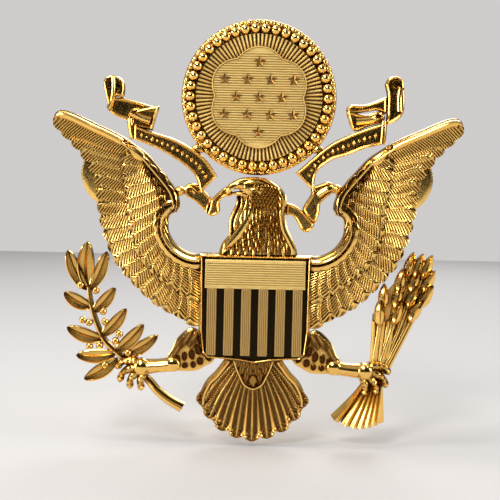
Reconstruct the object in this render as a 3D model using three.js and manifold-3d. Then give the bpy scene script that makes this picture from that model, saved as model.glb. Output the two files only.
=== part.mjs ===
// A cap badge: an eagle with a shield on its breast, a disc of rays over its head, a two-part ribbon
// in its beak, an olive branch and a bundle of arrows in its claws, and two posts with butterfly
// clutches behind the wings.
// Millimetres. The badge stands upright: +Z up, its face looks along -Y, its flat back lies in y = 0.
// The origin is on that flat back, on the midline, half way up the shield. -X is the eagle's right
// wing, the one on the left when the badge is seen from the front.
import * as THREE from 'three';
import { mergeVertices } from 'three/addons/utils/BufferGeometryUtils.js';
import Module from 'manifold-3d';

const wasm = await Module();
wasm.setup();

// ---- driving dimensions ----

const HALF_SPAN = 32.15; // midline to wing tip
const DISC_HEIGHT = 31.6; // centre of the ray disc above the origin
const DISC_R = 12.15;
const BEAD_CIRCLE_R = 10.85;
const BEAD_R = 0.85;
const BEADS = 40;
const PANEL_R = 8.0; // lobes of the star panel
const PANEL_NOTCH_R = 7.0;
const STAR_R = 1.0;
const STAR_COLUMN = 3.57;
const STAR_ROW = 2.7;
const STAR_ROWS = [1, 4, 3, 4, 1];

const BODY_HALF_WIDTH = 8.75; // the wings and thighs meet the body here
const BODY_TOP = 7.2; // the neck meets the body here
const BODY_BOTTOM = -9.4; // the tail meets the body here
const BODY_DEPTH = 1.6; // the shield lies on the body at this depth
const SHIELD_PLATE_DEPTH = 2.4;
const SHIELD_RIM_DEPTH = 3.2;
const SHIELD_BAR_DEPTH = 3.0;
const BARS = 6;
const BAR_PITCH = 2.68;
const BAR_WIDTH = 1.5;

const WING_OUTER_DEPTH = 1.8;
const WING_MIDDLE_DEPTH = 2.3;
const WING_COVERT_DEPTH = 2.8;
const RIM_STEP = 0.4; // the raised tiers stand this far in from the wing's rim
const SHOULDER_START = 9; // the rim's points from here on go round the shoulder
const OUTER_FEATHERS = 17;
const MIDDLE_FEATHERS = 12;
const TAIL_FEATHERS = 9;
const NECK_DEPTH = 2.8;
const HEAD_DEPTH = 3.6;
const HELD_DEPTH = 1.6; // branch and arrows, held under the claws
const CLAW_DEPTH = 2.8;
const RIBBON_BACK = 0.8; // the ribbons stand this far off the back plane, on their solder
const RIBBON_DEPTH = 2.2;

const POST_X = 22.3; // posts at both sides of the midline
const POST_Z = 19.3;
const POST_R = 0.6;
const POST_LENGTH = 9.0;
const POST_HEAD_R = 2.4;
const POST_HEAD_THICKNESS = 0.5;
const CLUTCH_R = 5.5;
const CLUTCH_FRONT = 0.8; // the clutch's face, just off the head of the post
const CLUTCH_PLATE = 0.6;
const CLUTCH_BORE_R = 1.0;
const HOUSING_R = 3.0;
const HOUSING_DEPTH = 2.6;
const TAB_WIDTH = 4.6;
const TAB_THICKNESS = 0.5;
const TAB_REACH = 4.9; // from the post's axis to the end of a squeeze tab
const TAB_TILT = 28; // degrees that a tab leans back from the clutch's plate

// ---- materials ----

function metal(name, color, roughness) {
  return new THREE.MeshStandardMaterial({ name, color, roughness, metalness: 1 });
}

const goldPlate = metal('gold_plate', 0xe0b65a, 0.18);
const satinGold = metal('satin_gold', 0xd0aa58, 0.38);
const solderGold = metal('solder', 0xe8c04a, 0.25);
const clutchBrass = metal('clutch_brass', 0xd8b860, 0.3);

// ---- outlines: lists of [x, z] points ----

const mirrored = (outline) => outline.map(([x, z]) => [-x, z]);

// A smooth open curve through a few points.
function smooth(points, steps = 3) {
  const curve = new THREE.SplineCurve(points.map(([x, z]) => new THREE.Vector2(x, z)));
  return curve.getPoints(steps * (points.length - 1)).map((p) => [p.x, p.y]);
}

// The same curve as a row of feather tips, each bulging to the right of the way the curve runs, or to
// the left if `bulge` is negative.
function scalloped(points, feathers, bulge) {
  const curve = new THREE.SplineCurve(points.map(([x, z]) => new THREE.Vector2(x, z)));
  const notches = curve.getSpacedPoints(feathers);
  const outline = [];
  for (let i = 0; i < feathers; i += 1) {
    const a = notches[i];
    const b = notches[i + 1];
    const out = new THREE.Vector2(b.y - a.y, a.x - b.x).normalize().multiplyScalar(bulge);
    outline.push([a.x, a.y]);
    for (const [along, share] of [[0.2, 0.75], [0.5, 1], [0.8, 0.75]]) {
      const p = a.clone().lerp(b, along).addScaledVector(out, share);
      outline.push([p.x, p.y]);
    }
  }
  outline.push([notches[feathers].x, notches[feathers].y]);
  return outline;
}

// A line moved sideways: to the left of the way it runs, or to the right if `by` is negative.
function offset(line, by) {
  return line.map(([x, z], i) => {
    const before = line[Math.max(i - 1, 0)];
    const after = line[Math.min(i + 1, line.length - 1)];
    const along = new THREE.Vector2(after[0] - before[0], after[1] - before[1]).normalize();
    return [x - along.y * by, z + along.x * by];
  });
}

// A band of a given width along a smooth curve, its ends cut square.
function band(points, width, steps = 3) {
  const middle = smooth(points, steps);
  return [...offset(middle, width / 2), ...offset(middle, -width / 2).reverse()];
}

// A leaf: pointed at both ends, widest in the middle.
function leaf([x0, z0], [x1, z1], width) {
  const along = new THREE.Vector2(x1 - x0, z1 - z0);
  const side = new THREE.Vector2(-along.y, along.x).normalize().multiplyScalar(width / 2);
  const shape = [[0.25, 0.75], [0.5, 1], [0.75, 0.75]];
  const at = (t, s) => [x0 + along.x * t + side.x * s, z0 + along.y * t + side.y * s];
  return [[x0, z0], ...shape.map(([t, s]) => at(t, s)), [x1, z1],
    ...shape.map(([t, s]) => at(1 - t, -s))];
}

function circle([x, z], r, sides = 12) {
  return Array.from({ length: sides }, (_, i) => {
    const turn = 2 * Math.PI * i / sides;
    return [x + r * Math.cos(turn), z + r * Math.sin(turn)];
  });
}

function star([x, z], r) {
  return Array.from({ length: 10 }, (_, i) => {
    const turn = Math.PI * i / 5;
    const reach = i % 2 === 0 ? r : r * 0.45;
    return [x + reach * Math.sin(turn), z + reach * Math.cos(turn)];
  });
}

// ---- solids ----

// An outline given a thickness: from `back` to `front`, both measured forwards from the back plane.
function slab(outline, back, front, hole) {
  const points = outline.map(([x, z]) => new THREE.Vector2(x, z));
  if (THREE.ShapeUtils.isClockWise(points)) points.reverse();
  const shape = new THREE.Shape(points);
  if (hole) shape.holes.push(new THREE.Path(hole.map(([x, z]) => new THREE.Vector2(x, z))));
  const geometry = new THREE.ExtrudeGeometry(shape, { depth: front - back, bevelEnabled: false });
  const upright = new THREE.Matrix4().set(1, 0, 0, 0, 0, 0, -1, -back, 0, 1, 0, 0, 0, 0, 0, 1);
  return geometry.applyMatrix4(upright);
}

function toSolid(geometry) {
  const bare = geometry.clone();
  bare.deleteAttribute('normal');
  bare.deleteAttribute('uv');
  const merged = mergeVertices(bare, 1e-4);
  return new wasm.Manifold(new wasm.Mesh({
    numProp: 3,
    vertProperties: new Float32Array(merged.attributes.position.array),
    triVerts: new Uint32Array(merged.index.array),
  }));
}

function toGeometry(solid) {
  const mesh = solid.getMesh();
  const geometry = new THREE.BufferGeometry();
  geometry.setAttribute('position', new THREE.BufferAttribute(mesh.vertProperties, 3));
  geometry.setIndex(new THREE.BufferAttribute(mesh.triVerts, 1));
  const faceted = geometry.toNonIndexed();
  faceted.computeVertexNormals();
  return faceted;
}

function join(...geometries) {
  return toGeometry(geometries.map(toSolid).reduce((a, b) => a.add(b)));
}

function cut(geometry, tool) {
  return toGeometry(toSolid(geometry).subtract(toSolid(tool)));
}

// A profile of [radius, distance behind the back plane] turned round an axis along Y.
function turned(profile, segments = 24) {
  const points = profile.map(([r, y]) => new THREE.Vector2(r, y));
  return new THREE.LatheGeometry(points, segments);
}

const badge = new THREE.Group();

function place(name, geometry, material, x = 0, z = 0) {
  const mesh = new THREE.Mesh(geometry, material);
  mesh.name = name;
  mesh.position.set(x, 0, z);
  badge.add(mesh);
}

// ---- body and shield ----

function bodyOutline() {
  return [[-BODY_HALF_WIDTH, BODY_BOTTOM], [BODY_HALF_WIDTH, BODY_BOTTOM],
    [BODY_HALF_WIDTH, BODY_TOP], [-BODY_HALF_WIDTH, BODY_TOP]];
}

const shieldOutline = [[0, -10.0], [2.6, -9.6], [5.4, -9.4], [7.3, -9.3], [8.2, -8.4], [8.6, -5.0],
  [8.75, 7.2], [-8.75, 7.2], [-8.6, -5.0], [-8.2, -8.4], [-7.3, -9.3], [-5.4, -9.4], [-2.6, -9.6]];
const shieldField = [[0, -9.3], [7.0, -8.7], [7.6, -8.0], [8.0, 6.5], [-8.0, 6.5],
  [-7.6, -8.0], [-7.0, -8.7]];

place('eagle_body', slab(bodyOutline(), 0, BODY_DEPTH), goldPlate);
place('shield_plate', join(
  slab(shieldOutline, BODY_DEPTH, SHIELD_PLATE_DEPTH),
  slab(shieldOutline, SHIELD_PLATE_DEPTH - 0.2, SHIELD_RIM_DEPTH, shieldField),
), goldPlate);

// The chief across the top and the upright bars below it are one comb, let into the rim.
function chiefAndBars() {
  const gap = 0.3;
  const chief = [[-8.0 + gap, 1.7], [8.0 - gap, 1.7], [8.0 - gap, 6.5 - gap], [-8.0 + gap, 6.5 - gap]];
  const comb = [slab(chief, SHIELD_PLATE_DEPTH, SHIELD_BAR_DEPTH)];
  for (let i = 0; i < BARS; i += 1) {
    const x = (i - (BARS - 1) / 2) * BAR_PITCH;
    const bar = [[x - BAR_WIDTH / 2, -8.3], [x + BAR_WIDTH / 2, -8.3],
      [x + BAR_WIDTH / 2, 2.0], [x - BAR_WIDTH / 2, 2.0]];
    comb.push(slab(bar, SHIELD_PLATE_DEPTH, SHIELD_BAR_DEPTH));
  }
  return join(...comb);
}

place('shield_chief_and_bars', chiefAndBars(), satinGold);

// ---- head and neck ----

function headAndNeck() {
  const neck = [[-5.6, BODY_TOP], [6.4, BODY_TOP], ...smooth([[6.3, 8.4], [5.4, 10.2], [4.7, 11.8],
    [4.4, 13.6], [4.5, 15.4], [4.2, 16.9], [3.2, 18.1], [1.6, 18.9], [0, 19.1], [-2.0, 19.0],
    [-3.8, 18.5], [-4.7, 17.7], [-4.8, 16.9]], 2),
  [-3.6, 17.0], [-2.9, 15.4], [-3.6, 13.6], [-4.1, 12.4], [-4.1, 10.4], [-5.2, 8.8]];
  const skull = smooth([[-2.0, 16.4], [0, 15.6], [2.4, 15.8], [3.4, 17.0], [2.4, 18.2], [0, 18.6],
    [-2.4, 18.4], [-3.8, 17.7]], 2);
  const throat = [[-4.0, 8.0], [5.0, 8.0], [3.8, 11.5], [3.6, 14.5], [-1.8, 14.5], [-2.8, 11.5]];
  return join(slab(neck, 0, 2.0), slab(throat, 1.0, NECK_DEPTH), slab(skull, 1.0, HEAD_DEPTH));
}

place('head_and_neck', headAndNeck(), goldPlate);

// ---- wings ----

const leadingEdge = [[-31.7, 28.9], [-29.0, 28.7], [-25.2, 27.0], [-20.7, 24.9], [-17.5, 22.7],
  [-15.8, 20.9], [-13.1, 17.7], [-12.1, 15.3]];
const innerRim = [[-12.1, 14.1], [-13.3, 13.0], [-13.7, 11.0], [-13.2, 9.4], [-12.1, 8.1], [-10.8, 7.3]];
const outerEdge = [[-BODY_HALF_WIDTH, -4.75], [-12.3, -2.5], [-14.8, -1.4], [-17.8, 1.0], [-20.4, 3.8],
  [-22.4, 6.4], [-23.6, 9.5], [-24.4, 12.3], [-24.9, 15.4], [-25.2, 18.6], [-26.4, 21.6],
  [-28.6, 24.6], [-31.6, 26.9]];
const INBOARD = -BODY_HALF_WIDTH - RIM_STEP; // the raised tiers stop here, beside the shield
const middleEdge = [[INBOARD, -0.4], [-12.1, 1.2], [-15.2, 3.4], [-17.8, 5.9], [-19.4, 9.1],
  [-20.2, 13.0], [-20.5, 16.9], [-21.0, 20.1], [-20.7, 23.0]];
const covertEdge = [[INBOARD, 4.8], [-12.1, 5.9], [-14.0, 8.2], [-15.2, 10.8], [-15.1, 14.0],
  [-15.8, 17.0], [-17.6, 20.0], [-20.0, 22.4]];

function wing(side) {
  const turn = side === 'left' ? (outline) => outline : mirrored;
  const lead = smooth(leadingEdge);
  const rim = [...lead, ...smooth(innerRim), [-BODY_HALF_WIDTH, 7.0]];
  const raised = offset(rim, -RIM_STEP);
  const shoulder = raised.slice(SHOULDER_START).map(([x, z]) => [Math.min(x, INBOARD), z]);
  const outerTier = [...rim, ...scalloped(outerEdge, OUTER_FEATHERS, -0.45), [-HALF_SPAN, 27.9]];
  const middleTier = [...shoulder, ...scalloped(middleEdge, MIDDLE_FEATHERS, -0.35)];
  const coverts = [...shoulder, ...smooth(covertEdge, 2)];
  const leadingBand = [...raised.slice(0, lead.length - 4), [-17.4, 20.2],
    ...smooth([[-19.6, 22.2], [-22.6, 24.0], [-26.4, 25.8], [-29.5, 26.9], [-31.4, 27.6]], 2)];
  return join(
    slab(turn(outerTier), 0, WING_OUTER_DEPTH),
    slab(turn(middleTier), 0.5, WING_MIDDLE_DEPTH),
    slab(turn(coverts), 0.6, WING_COVERT_DEPTH),
    slab(turn(leadingBand), 0.7, WING_COVERT_DEPTH + 0.1),
  );
}

place('left_wing', wing('left'), goldPlate);
place('right_wing', wing('right'), goldPlate);

// ---- tail ----

function tail() {
  const side = smooth([[-4.6, BODY_BOTTOM], [-6.0, -11.6], [-7.4, -13.1], [-8.6, -15.3]]);
  const tips = scalloped([[-8.7, -16.2], [-7.9, -18.4], [-5.8, -20.7], [-3.0, -22.1], [0, -22.6],
    [3.0, -22.1], [5.8, -20.7], [7.9, -18.4], [8.7, -16.2]], TAIL_FEATHERS, 0.5);
  const coverts = scalloped([[-5.2, -13.4], [-2.6, -14.8], [0, -15.3], [2.6, -14.8], [5.2, -13.4]],
    5, 0.4);
  return join(
    slab([...side, ...tips, ...mirrored(side).reverse()], 0, BODY_DEPTH),
    slab([...coverts, [3.6, -10.6], [-3.6, -10.6]], 0.5, 2.4),
  );
}

place('tail', tail(), goldPlate);

// ---- legs, and what the claws hold ----

function leg(side) {
  const turn = side === 'left' ? (outline) => outline : mirrored;
  const limb = [[-BODY_HALF_WIDTH, -5.2], ...smooth([[-10.0, -4.7], [-12.0, -6.3], [-12.9, -8.2],
    [-13.8, -9.6], [-17.0, -10.0]], 2), [-16.6, -12.0], ...smooth([[-15.0, -11.9], [-12.2, -11.6],
    [-9.4, -11.5], [-7.6, -10.7], [-6.0, BODY_BOTTOM]], 2), [-BODY_HALF_WIDTH, BODY_BOTTOM]];
  const knuckle = [-17.4, -11.0];
  const toes = [[-21.4, -11.2], [-20.8, -13.2], [-19.3, -14.1], [-17.6, -14.4]];
  const claw = toes.map((tip) => slab(turn(leaf([knuckle[0] + 0.8, knuckle[1] + 0.4], tip, 1.4)),
    HELD_DEPTH, CLAW_DEPTH));
  return join(
    slab(turn(limb), 0, CLAW_DEPTH),
    slab(turn(circle(knuckle, 1.2)), HELD_DEPTH, CLAW_DEPTH),
    ...claw,
  );
}

place('left_leg', leg('left'), goldPlate);
place('right_leg', leg('right'), goldPlate);

// Leaves as [where it joins the stem, tip], and berries as [where its stalk starts, centre].
const branchStem = [[-11.1, -17.6], [-14.2, -15.4], [-16.9, -13.4], [-18.6, -11.9], [-21.1, -9.3],
  [-23.6, -7.0], [-25.1, -3.7], [-25.9, -0.7], [-26.2, 1.8]];
const branchLeaves = [[[-26.2, 1.2], [-26.4, 8.5]], [[-26.2, 1.0], [-29.3, 7.2]],
  [[-26.0, 0.6], [-24.0, 7.0]], [[-25.4, -2.6], [-22.3, 1.2]], [[-24.0, -6.4], [-20.5, -2.1]],
  [[-21.6, -8.9], [-17.6, -4.4]], [[-20.6, -9.7], [-15.3, -5.9]], [[-25.6, -2.0], [-30.0, 0.3]],
  [[-23.6, -7.0], [-29.3, -5.4]], [[-21.4, -9.0], [-27.8, -9.5]], [[-21.2, -9.4], [-26.6, -13.2]]];
const branchBerries = [[[-25.9, -0.6], [-24.9, 0.8]], [[-25.2, -3.4], [-23.8, -2.4]],
  [[-23.8, -6.6], [-23.4, -4.6]], [[-22.4, -8.2], [-21.1, -6.2]], [[-26.1, 0.4], [-27.4, 1.7]],
  [[-25.0, -4.0], [-26.9, -3.9]], [[-23.2, -7.5], [-25.8, -8.0]], [[-22.2, -8.4], [-23.6, -10.8]]];

function oliveBranch() {
  const pieces = [slab(band(branchStem, 1.0, 2), 0, 1.2)];
  branchLeaves.forEach(([foot, tip]) => pieces.push(slab(leaf(foot, tip, 1.9), 0, 1.5)));
  branchBerries.forEach(([foot, centre]) => {
    pieces.push(slab(leaf(foot, centre, 0.7), 0, 1.0));
    pieces.push(slab(circle(centre, 0.55, 8), 0, HELD_DEPTH));
  });
  return join(...pieces);
}

place('olive_branch', oliveBranch(), goldPlate);

// Arrows in staggered rows, their shafts gathered in the claw and their feathers spread below it.
const arrowRows = [{ count: 3, from: [24.4, 6.0], to: [27.0, 5.6] },
  { count: 3, from: [23.0, 3.4], to: [27.2, 3.2] }, { count: 4, from: [20.6, 0.6], to: [26.8, 0.9] },
  { count: 3, from: [19.8, -2.0], to: [25.0, -1.7] }];

function arrowBundle() {
  const shafts = [[18.2, -11.2], [18.6, -8.3], [18.6, -2.1], [20.2, 0.8], [22.6, 3.8], [24.0, 6.2],
    [26.4, 6.4], [27.2, 4.2], [26.6, 0.2], [25.2, -3.2], [21.9, -7.8], [20.9, -11.2]];
  const feathers = [[18.3, -11.0], [15.6, -12.9], [12.1, -17.5], ...scalloped([[13.9, -19.1],
    [16.6, -19.7], [20.6, -19.9]], 4, 0.4), [20.8, -12.4], [20.8, -11.0]];
  const waist = [19.6, -10.6];
  const pieces = [slab(shafts, 0, 1.0), slab(feathers, 0, 1.4)];
  arrowRows.forEach(({ count, from, to }) => {
    for (let i = 0; i < count; i += 1) {
      const share = count === 1 ? 0.5 : i / (count - 1);
      const centre = new THREE.Vector2(...from).lerp(new THREE.Vector2(...to), share);
      const along = centre.clone().sub(new THREE.Vector2(...waist)).normalize().multiplyScalar(1.9);
      const foot = centre.clone().sub(along);
      const tip = centre.clone().add(along);
      pieces.push(slab(leaf([foot.x, foot.y], [tip.x, tip.y], 1.4), 0, 1.5));
    }
  });
  return join(...pieces);
}

place('arrow_bundle', arrowBundle(), goldPlate);

// ---- ribbons, and the solder that holds them ----

function leftRibbon() {
  const main = [...smooth([[-19.2, 26.8], [-14.8, 25.5], [-10.8, 23.9], [-8.8, 22.2], [-7.2, 20.4],
    [-6.2, 18.9]]), [-5.3, 17.9], [-5.3, 16.0], ...smooth([[-5.8, 15.0], [-6.0, 13.4], [-7.0, 12.9],
    [-8.5, 14.1], [-10.9, 15.9], [-11.4, 16.9], [-10.6, 17.8], [-9.2, 17.6]], 2),
  ...smooth([[-9.0, 18.4], [-10.4, 19.8], [-13.5, 22.0], [-17.7, 24.1], [-19.5, 25.1]])];
  const end = [[-24.3, 33.9], [-21.2, 34.0], [-22.7, 31.5], [-16.4, 29.8], [-16.0, 28.7],
    [-16.8, 26.0], [-19.3, 25.4], [-20.4, 27.8], [-23.5, 29.0]];
  return join(slab(main, RIBBON_BACK, RIBBON_DEPTH), slab(end, RIBBON_BACK, RIBBON_DEPTH - 0.4));
}

function rightRibbon() {
  const main = [[5.4, 19.3], ...smooth([[6.6, 20.3], [8.6, 22.1], [10.2, 23.7], [13.6, 25.9], [17.3, 27.3],
    [19.2, 27.6]]), ...smooth([[19.4, 25.4], [16.7, 24.0], [11.9, 22.2], [9.6, 20.4], [9.0, 18.6]]),
  ...smooth([[9.8, 17.9], [11.2, 18.6], [12.2, 17.8], [11.5, 16.7], [10.1, 15.4], [9.6, 12.6],
    [8.0, 10.8], [6.6, 12.0], [5.7, 13.5]], 2), [5.1, 14.2], [5.1, 17.0], [4.9, 18.0]];
  const end = [[22.4, 34.9], [22.4, 29.2], [20.0, 27.6], [19.0, 26.4], [14.9, 26.0], [14.0, 28.3],
    [13.7, 30.0], [17.8, 31.3], [19.6, 32.3], [19.6, 33.9], [20.4, 35.1]];
  return join(slab(main, RIBBON_BACK, RIBBON_DEPTH), slab(end, RIBBON_BACK, RIBBON_DEPTH - 0.4));
}

place('left_ribbon', leftRibbon(), goldPlate);
place('right_ribbon', rightRibbon(), goldPlate);

const solderSpots = [['left_wing_solder', [-11.2, 16.8], 0.75], ['right_wing_solder', [11.3, 17.4], 0.8],
  ['left_disc_solder', [-9.7, 22.3], 0.75], ['right_disc_solder', [9.9, 22.6], 0.75]];
solderSpots.forEach(([name, centre, r]) => {
  place(name, slab(circle(centre, r), 0, RIBBON_BACK), solderGold);
});

// ---- ray disc ----

// A ring of beads round the rim: its inner and outer edges both swell at each bead.
function beadRing() {
  const edge = (r, swell) => Array.from({ length: BEADS * 4 }, (_, i) => {
    const turn = 2 * Math.PI * i / (BEADS * 4);
    const reach = r + swell * (1 - Math.cos(turn * BEADS)) / 2;
    return [reach * Math.sin(turn), DISC_HEIGHT + reach * Math.cos(turn)];
  });
  return slab(edge(BEAD_CIRCLE_R + BEAD_R - 0.35, 0.35), 1.2, 2.4, edge(BEAD_CIRCLE_R - BEAD_R, -0.2));
}

function panelOutline() {
  return Array.from({ length: 72 }, (_, i) => {
    const turn = 2 * Math.PI * i / 72;
    const reach = PANEL_NOTCH_R + (PANEL_R - PANEL_NOTCH_R) * Math.abs(Math.cos(3 * turn));
    return [reach * Math.sin(turn), DISC_HEIGHT + reach * Math.cos(turn)];
  });
}

function starPanel() {
  const pieces = [slab(panelOutline(), 1.2, 2.2)];
  STAR_ROWS.forEach((count, row) => {
    for (let i = 0; i < count; i += 1) {
      const x = (i - (count - 1) / 2) * STAR_COLUMN;
      const z = DISC_HEIGHT + (2 - row) * STAR_ROW;
      pieces.push(slab(star([x, z], STAR_R), 2.0, 2.7));
    }
  });
  return join(...pieces);
}

place('glory_disc', slab(circle([0, DISC_HEIGHT], DISC_R, 64), 0, 1.2), goldPlate);
place('bead_ring', beadRing(), goldPlate);
place('ray_ring', slab(circle([0, DISC_HEIGHT], 9.6, 60), 1.2, 1.8, circle([0, DISC_HEIGHT], 8.3, 60)),
  goldPlate);
place('star_panel', starPanel(), satinGold);

// ---- posts and clutches ----

function post() {
  return turned([[0, 0], [POST_HEAD_R, 0], [POST_HEAD_R, POST_HEAD_THICKNESS],
    [POST_R, POST_HEAD_THICKNESS], [POST_R, POST_LENGTH - 1.2], [0, POST_LENGTH]], 20);
}

function clutchBase() {
  const back = CLUTCH_FRONT + CLUTCH_PLATE;
  return turned([[CLUTCH_BORE_R, CLUTCH_FRONT], [CLUTCH_R, CLUTCH_FRONT], [CLUTCH_R, back],
    [CLUTCH_R - 0.5, back + 0.4], [CLUTCH_R - 1.0, back], [CLUTCH_BORE_R, back],
    [CLUTCH_BORE_R, CLUTCH_FRONT]], 36);
}

// The crimped cover over the jaws, open above and below where the tabs come out.
function clutchHousing() {
  const front = CLUTCH_FRONT + CLUTCH_PLATE;
  const back = front + HOUSING_DEPTH;
  const cover = turned([[CLUTCH_BORE_R, front], [HOUSING_R, front], [HOUSING_R, back - 0.5],
    [HOUSING_R - 0.6, back], [CLUTCH_BORE_R, back], [CLUTCH_BORE_R, front]], 28);
  const slotDepth = HOUSING_R - 1.3;
  const slots = [1, -1].map((up) => {
    const slot = new THREE.BoxGeometry(TAB_WIDTH + 0.8, HOUSING_DEPTH + 1, slotDepth);
    return slot.translate(0, front + 0.6 + (HOUSING_DEPTH + 1) / 2, up * (1.3 + slotDepth / 2));
  });
  return slots.reduce((whole, slot) => cut(whole, slot), cover);
}

// A squeeze tab: a flat strip from the jaws, out past the cover and leaning back, its end rolled.
const tabPivot = { y: CLUTCH_FRONT + CLUTCH_PLATE + 1.3, z: 1.7 };

function tab() {
  const lean = THREE.MathUtils.degToRad(TAB_TILT);
  const length = (TAB_REACH - tabPivot.z) / Math.cos(lean);
  const strip = new THREE.BoxGeometry(TAB_WIDTH, TAB_THICKNESS, length).translate(0, 0, length / 2);
  const lip = new THREE.CylinderGeometry(0.45, 0.45, TAB_WIDTH, 10).rotateZ(Math.PI / 2)
    .translate(0, 0.1, length - 0.45);
  return join(strip, lip).rotateX(-lean).translate(0, tabPivot.y, tabPivot.z);
}

for (const [side, x] of [['left', -POST_X], ['right', POST_X]]) {
  place(`${side}_post`, post(), clutchBrass, x, POST_Z);
  place(`${side}_clutch_base`, clutchBase(), clutchBrass, x, POST_Z);
  place(`${side}_clutch_housing`, clutchHousing(), clutchBrass, x, POST_Z);
  place(`${side}_clutch_upper_tab`, tab(), clutchBrass, x, POST_Z);
  place(`${side}_clutch_lower_tab`, tab().scale(-1, 1, -1), clutchBrass, x, POST_Z);
}

export default badge;
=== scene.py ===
"""A gold-plated cap badge: an eagle with a shield, held to a cap by two posts and squeeze clutches."""
import math

import bmesh
import bpy
from bpy.props import FloatProperty, FloatVectorProperty, IntProperty, PointerProperty
from mathutils import Matrix, Vector
from mathutils.geometry import tessellate_polygon


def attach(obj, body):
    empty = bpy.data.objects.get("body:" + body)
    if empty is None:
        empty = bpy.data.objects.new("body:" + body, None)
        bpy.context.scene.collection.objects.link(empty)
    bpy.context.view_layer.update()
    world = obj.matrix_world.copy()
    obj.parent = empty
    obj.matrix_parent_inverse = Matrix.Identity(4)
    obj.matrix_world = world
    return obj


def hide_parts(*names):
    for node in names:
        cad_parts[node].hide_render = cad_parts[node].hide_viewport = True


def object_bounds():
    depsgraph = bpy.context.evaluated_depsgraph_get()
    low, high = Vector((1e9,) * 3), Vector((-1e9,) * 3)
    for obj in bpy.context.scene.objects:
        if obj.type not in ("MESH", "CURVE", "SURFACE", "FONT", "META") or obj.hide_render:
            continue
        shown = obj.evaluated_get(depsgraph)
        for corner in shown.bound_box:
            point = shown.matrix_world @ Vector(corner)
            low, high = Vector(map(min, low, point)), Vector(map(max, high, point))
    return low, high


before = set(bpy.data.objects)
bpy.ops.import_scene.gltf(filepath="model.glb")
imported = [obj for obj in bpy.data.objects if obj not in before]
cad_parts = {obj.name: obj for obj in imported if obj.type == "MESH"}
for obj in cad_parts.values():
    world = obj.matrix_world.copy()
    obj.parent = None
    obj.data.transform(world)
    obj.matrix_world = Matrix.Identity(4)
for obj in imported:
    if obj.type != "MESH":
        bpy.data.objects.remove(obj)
cad_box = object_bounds()

bl_info = {
    "name": "Cap Badge",
    "version": (1, 0, 0),
    "blender": (4, 5, 0),
    "location": "View3D > Sidebar > Badge",
    "description": "Builds a struck and gold-plated cap badge with its posts and clutches",
    "category": "Add Mesh",
}

# Outlines below are lists of (x, z) points in millimetres, in the badge's own frame: +Z up, the face
# looks along -Y and the flat back lies in y = 0. A depth is a height above the back, towards -Y.
MM = 0.001
DISC_Z = 31.6
POST_X = 22.3
POST_Z = 19.3
BODY_HALF = 8.75


# ---- lines in the badge's face ----


def mirrored(line):
    """The same line on the other side of the midline."""
    return [(-x, z) for x, z in line]


def smooth(points, steps=6):
    """A smooth open line through a few points."""
    ends = [points[0], *points, points[-1]]
    line = []
    for a, b, c, d in zip(ends, ends[1:], ends[2:], ends[3:]):
        for k in range(steps):
            t = k / steps
            line.append(tuple(
                0.5 * (2 * q + (r - p) * t + (2 * p - 5 * q + 4 * r - s) * t * t
                       + (3 * q - p - 3 * r + s) * t ** 3)
                for p, q, r, s in zip(a, b, c, d)))
    line.append(tuple(points[-1]))
    return line


def lengths(line):
    """How far along the line each of its points lies."""
    run = [0.0]
    for (x0, z0), (x1, z1) in zip(line, line[1:]):
        run.append(run[-1] + math.hypot(x1 - x0, z1 - z0))
    return run


def point_at(line, share):
    """The point at a share of the line's length."""
    run = lengths(line)
    want = min(max(share, 0.0), 1.0) * run[-1]
    for i in range(1, len(line)):
        if run[i] >= want:
            t = (want - run[i - 1]) / max(run[i] - run[i - 1], 1e-9)
            (x0, z0), (x1, z1) = line[i - 1], line[i]
            return (x0 + (x1 - x0) * t, z0 + (z1 - z0) * t)
    return line[-1]


def resampled(line, count):
    """The line as evenly spaced points."""
    return [point_at(line, i / (count - 1)) for i in range(count)]


def normals(line, closed=False):
    """The unit normal at each point, to the left of the way the line runs."""
    found = []
    last = len(line) - 1
    for i in range(len(line)):
        if closed:
            before, after = line[i - 1], line[(i + 1) % len(line)]
        else:
            before, after = line[max(i - 1, 0)], line[min(i + 1, last)]
        dx, dz = after[0] - before[0], after[1] - before[1]
        size = math.hypot(dx, dz) or 1.0
        found.append((-dz / size, dx / size))
    return found


def offset(line, by, closed=False):
    """The line moved sideways: to the left of the way it runs, or to the right if by is negative."""
    return [(x + nx * by, z + nz * by) for (x, z), (nx, nz) in zip(line, normals(line, closed))]


def turns_left(outline):
    """True if a closed outline runs anticlockwise."""
    area = 0.0
    for (x0, z0), (x1, z1) in zip(outline, [*outline[1:], outline[0]]):
        area += x0 * z1 - x1 * z0
    return area > 0


def subdivided(outline, step=0.5):
    """A closed outline with its long edges divided, its corners kept."""
    line = []
    for a, b in zip(outline, [*outline[1:], outline[0]]):
        parts = max(1, round(math.hypot(b[0] - a[0], b[1] - a[1]) / step))
        for k in range(parts):
            line.append((a[0] + (b[0] - a[0]) * k / parts, a[1] + (b[1] - a[1]) * k / parts))
    return line


def leaf_width(t, widest=0.45, fullness=0.7):
    """The half-width of a leaf, as a share of its greatest, at a share of its length."""
    if t < widest:
        return max(0.0, math.sin(0.5 * math.pi * t / widest)) ** fullness
    return max(0.0, math.cos(0.5 * math.pi * (t - widest) / (1 - widest))) ** fullness


def feather_width(t, root=0.86, rounding=0.82):
    """The half-width of a feather, which widens from its root and ends in a round tip."""
    if t < rounding:
        return root + (1 - root) * t / rounding
    return math.sqrt(max(0.0, 1 - ((t - rounding) / (1 - rounding)) ** 2))


def even_width(t):
    """The half-width of a rod."""
    return 1.0


def pleat_width(t):
    """The half-width of a pleat, which widens all the way to its cut end."""
    return 0.3 + 0.7 * t


# ---- meshes ----


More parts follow.
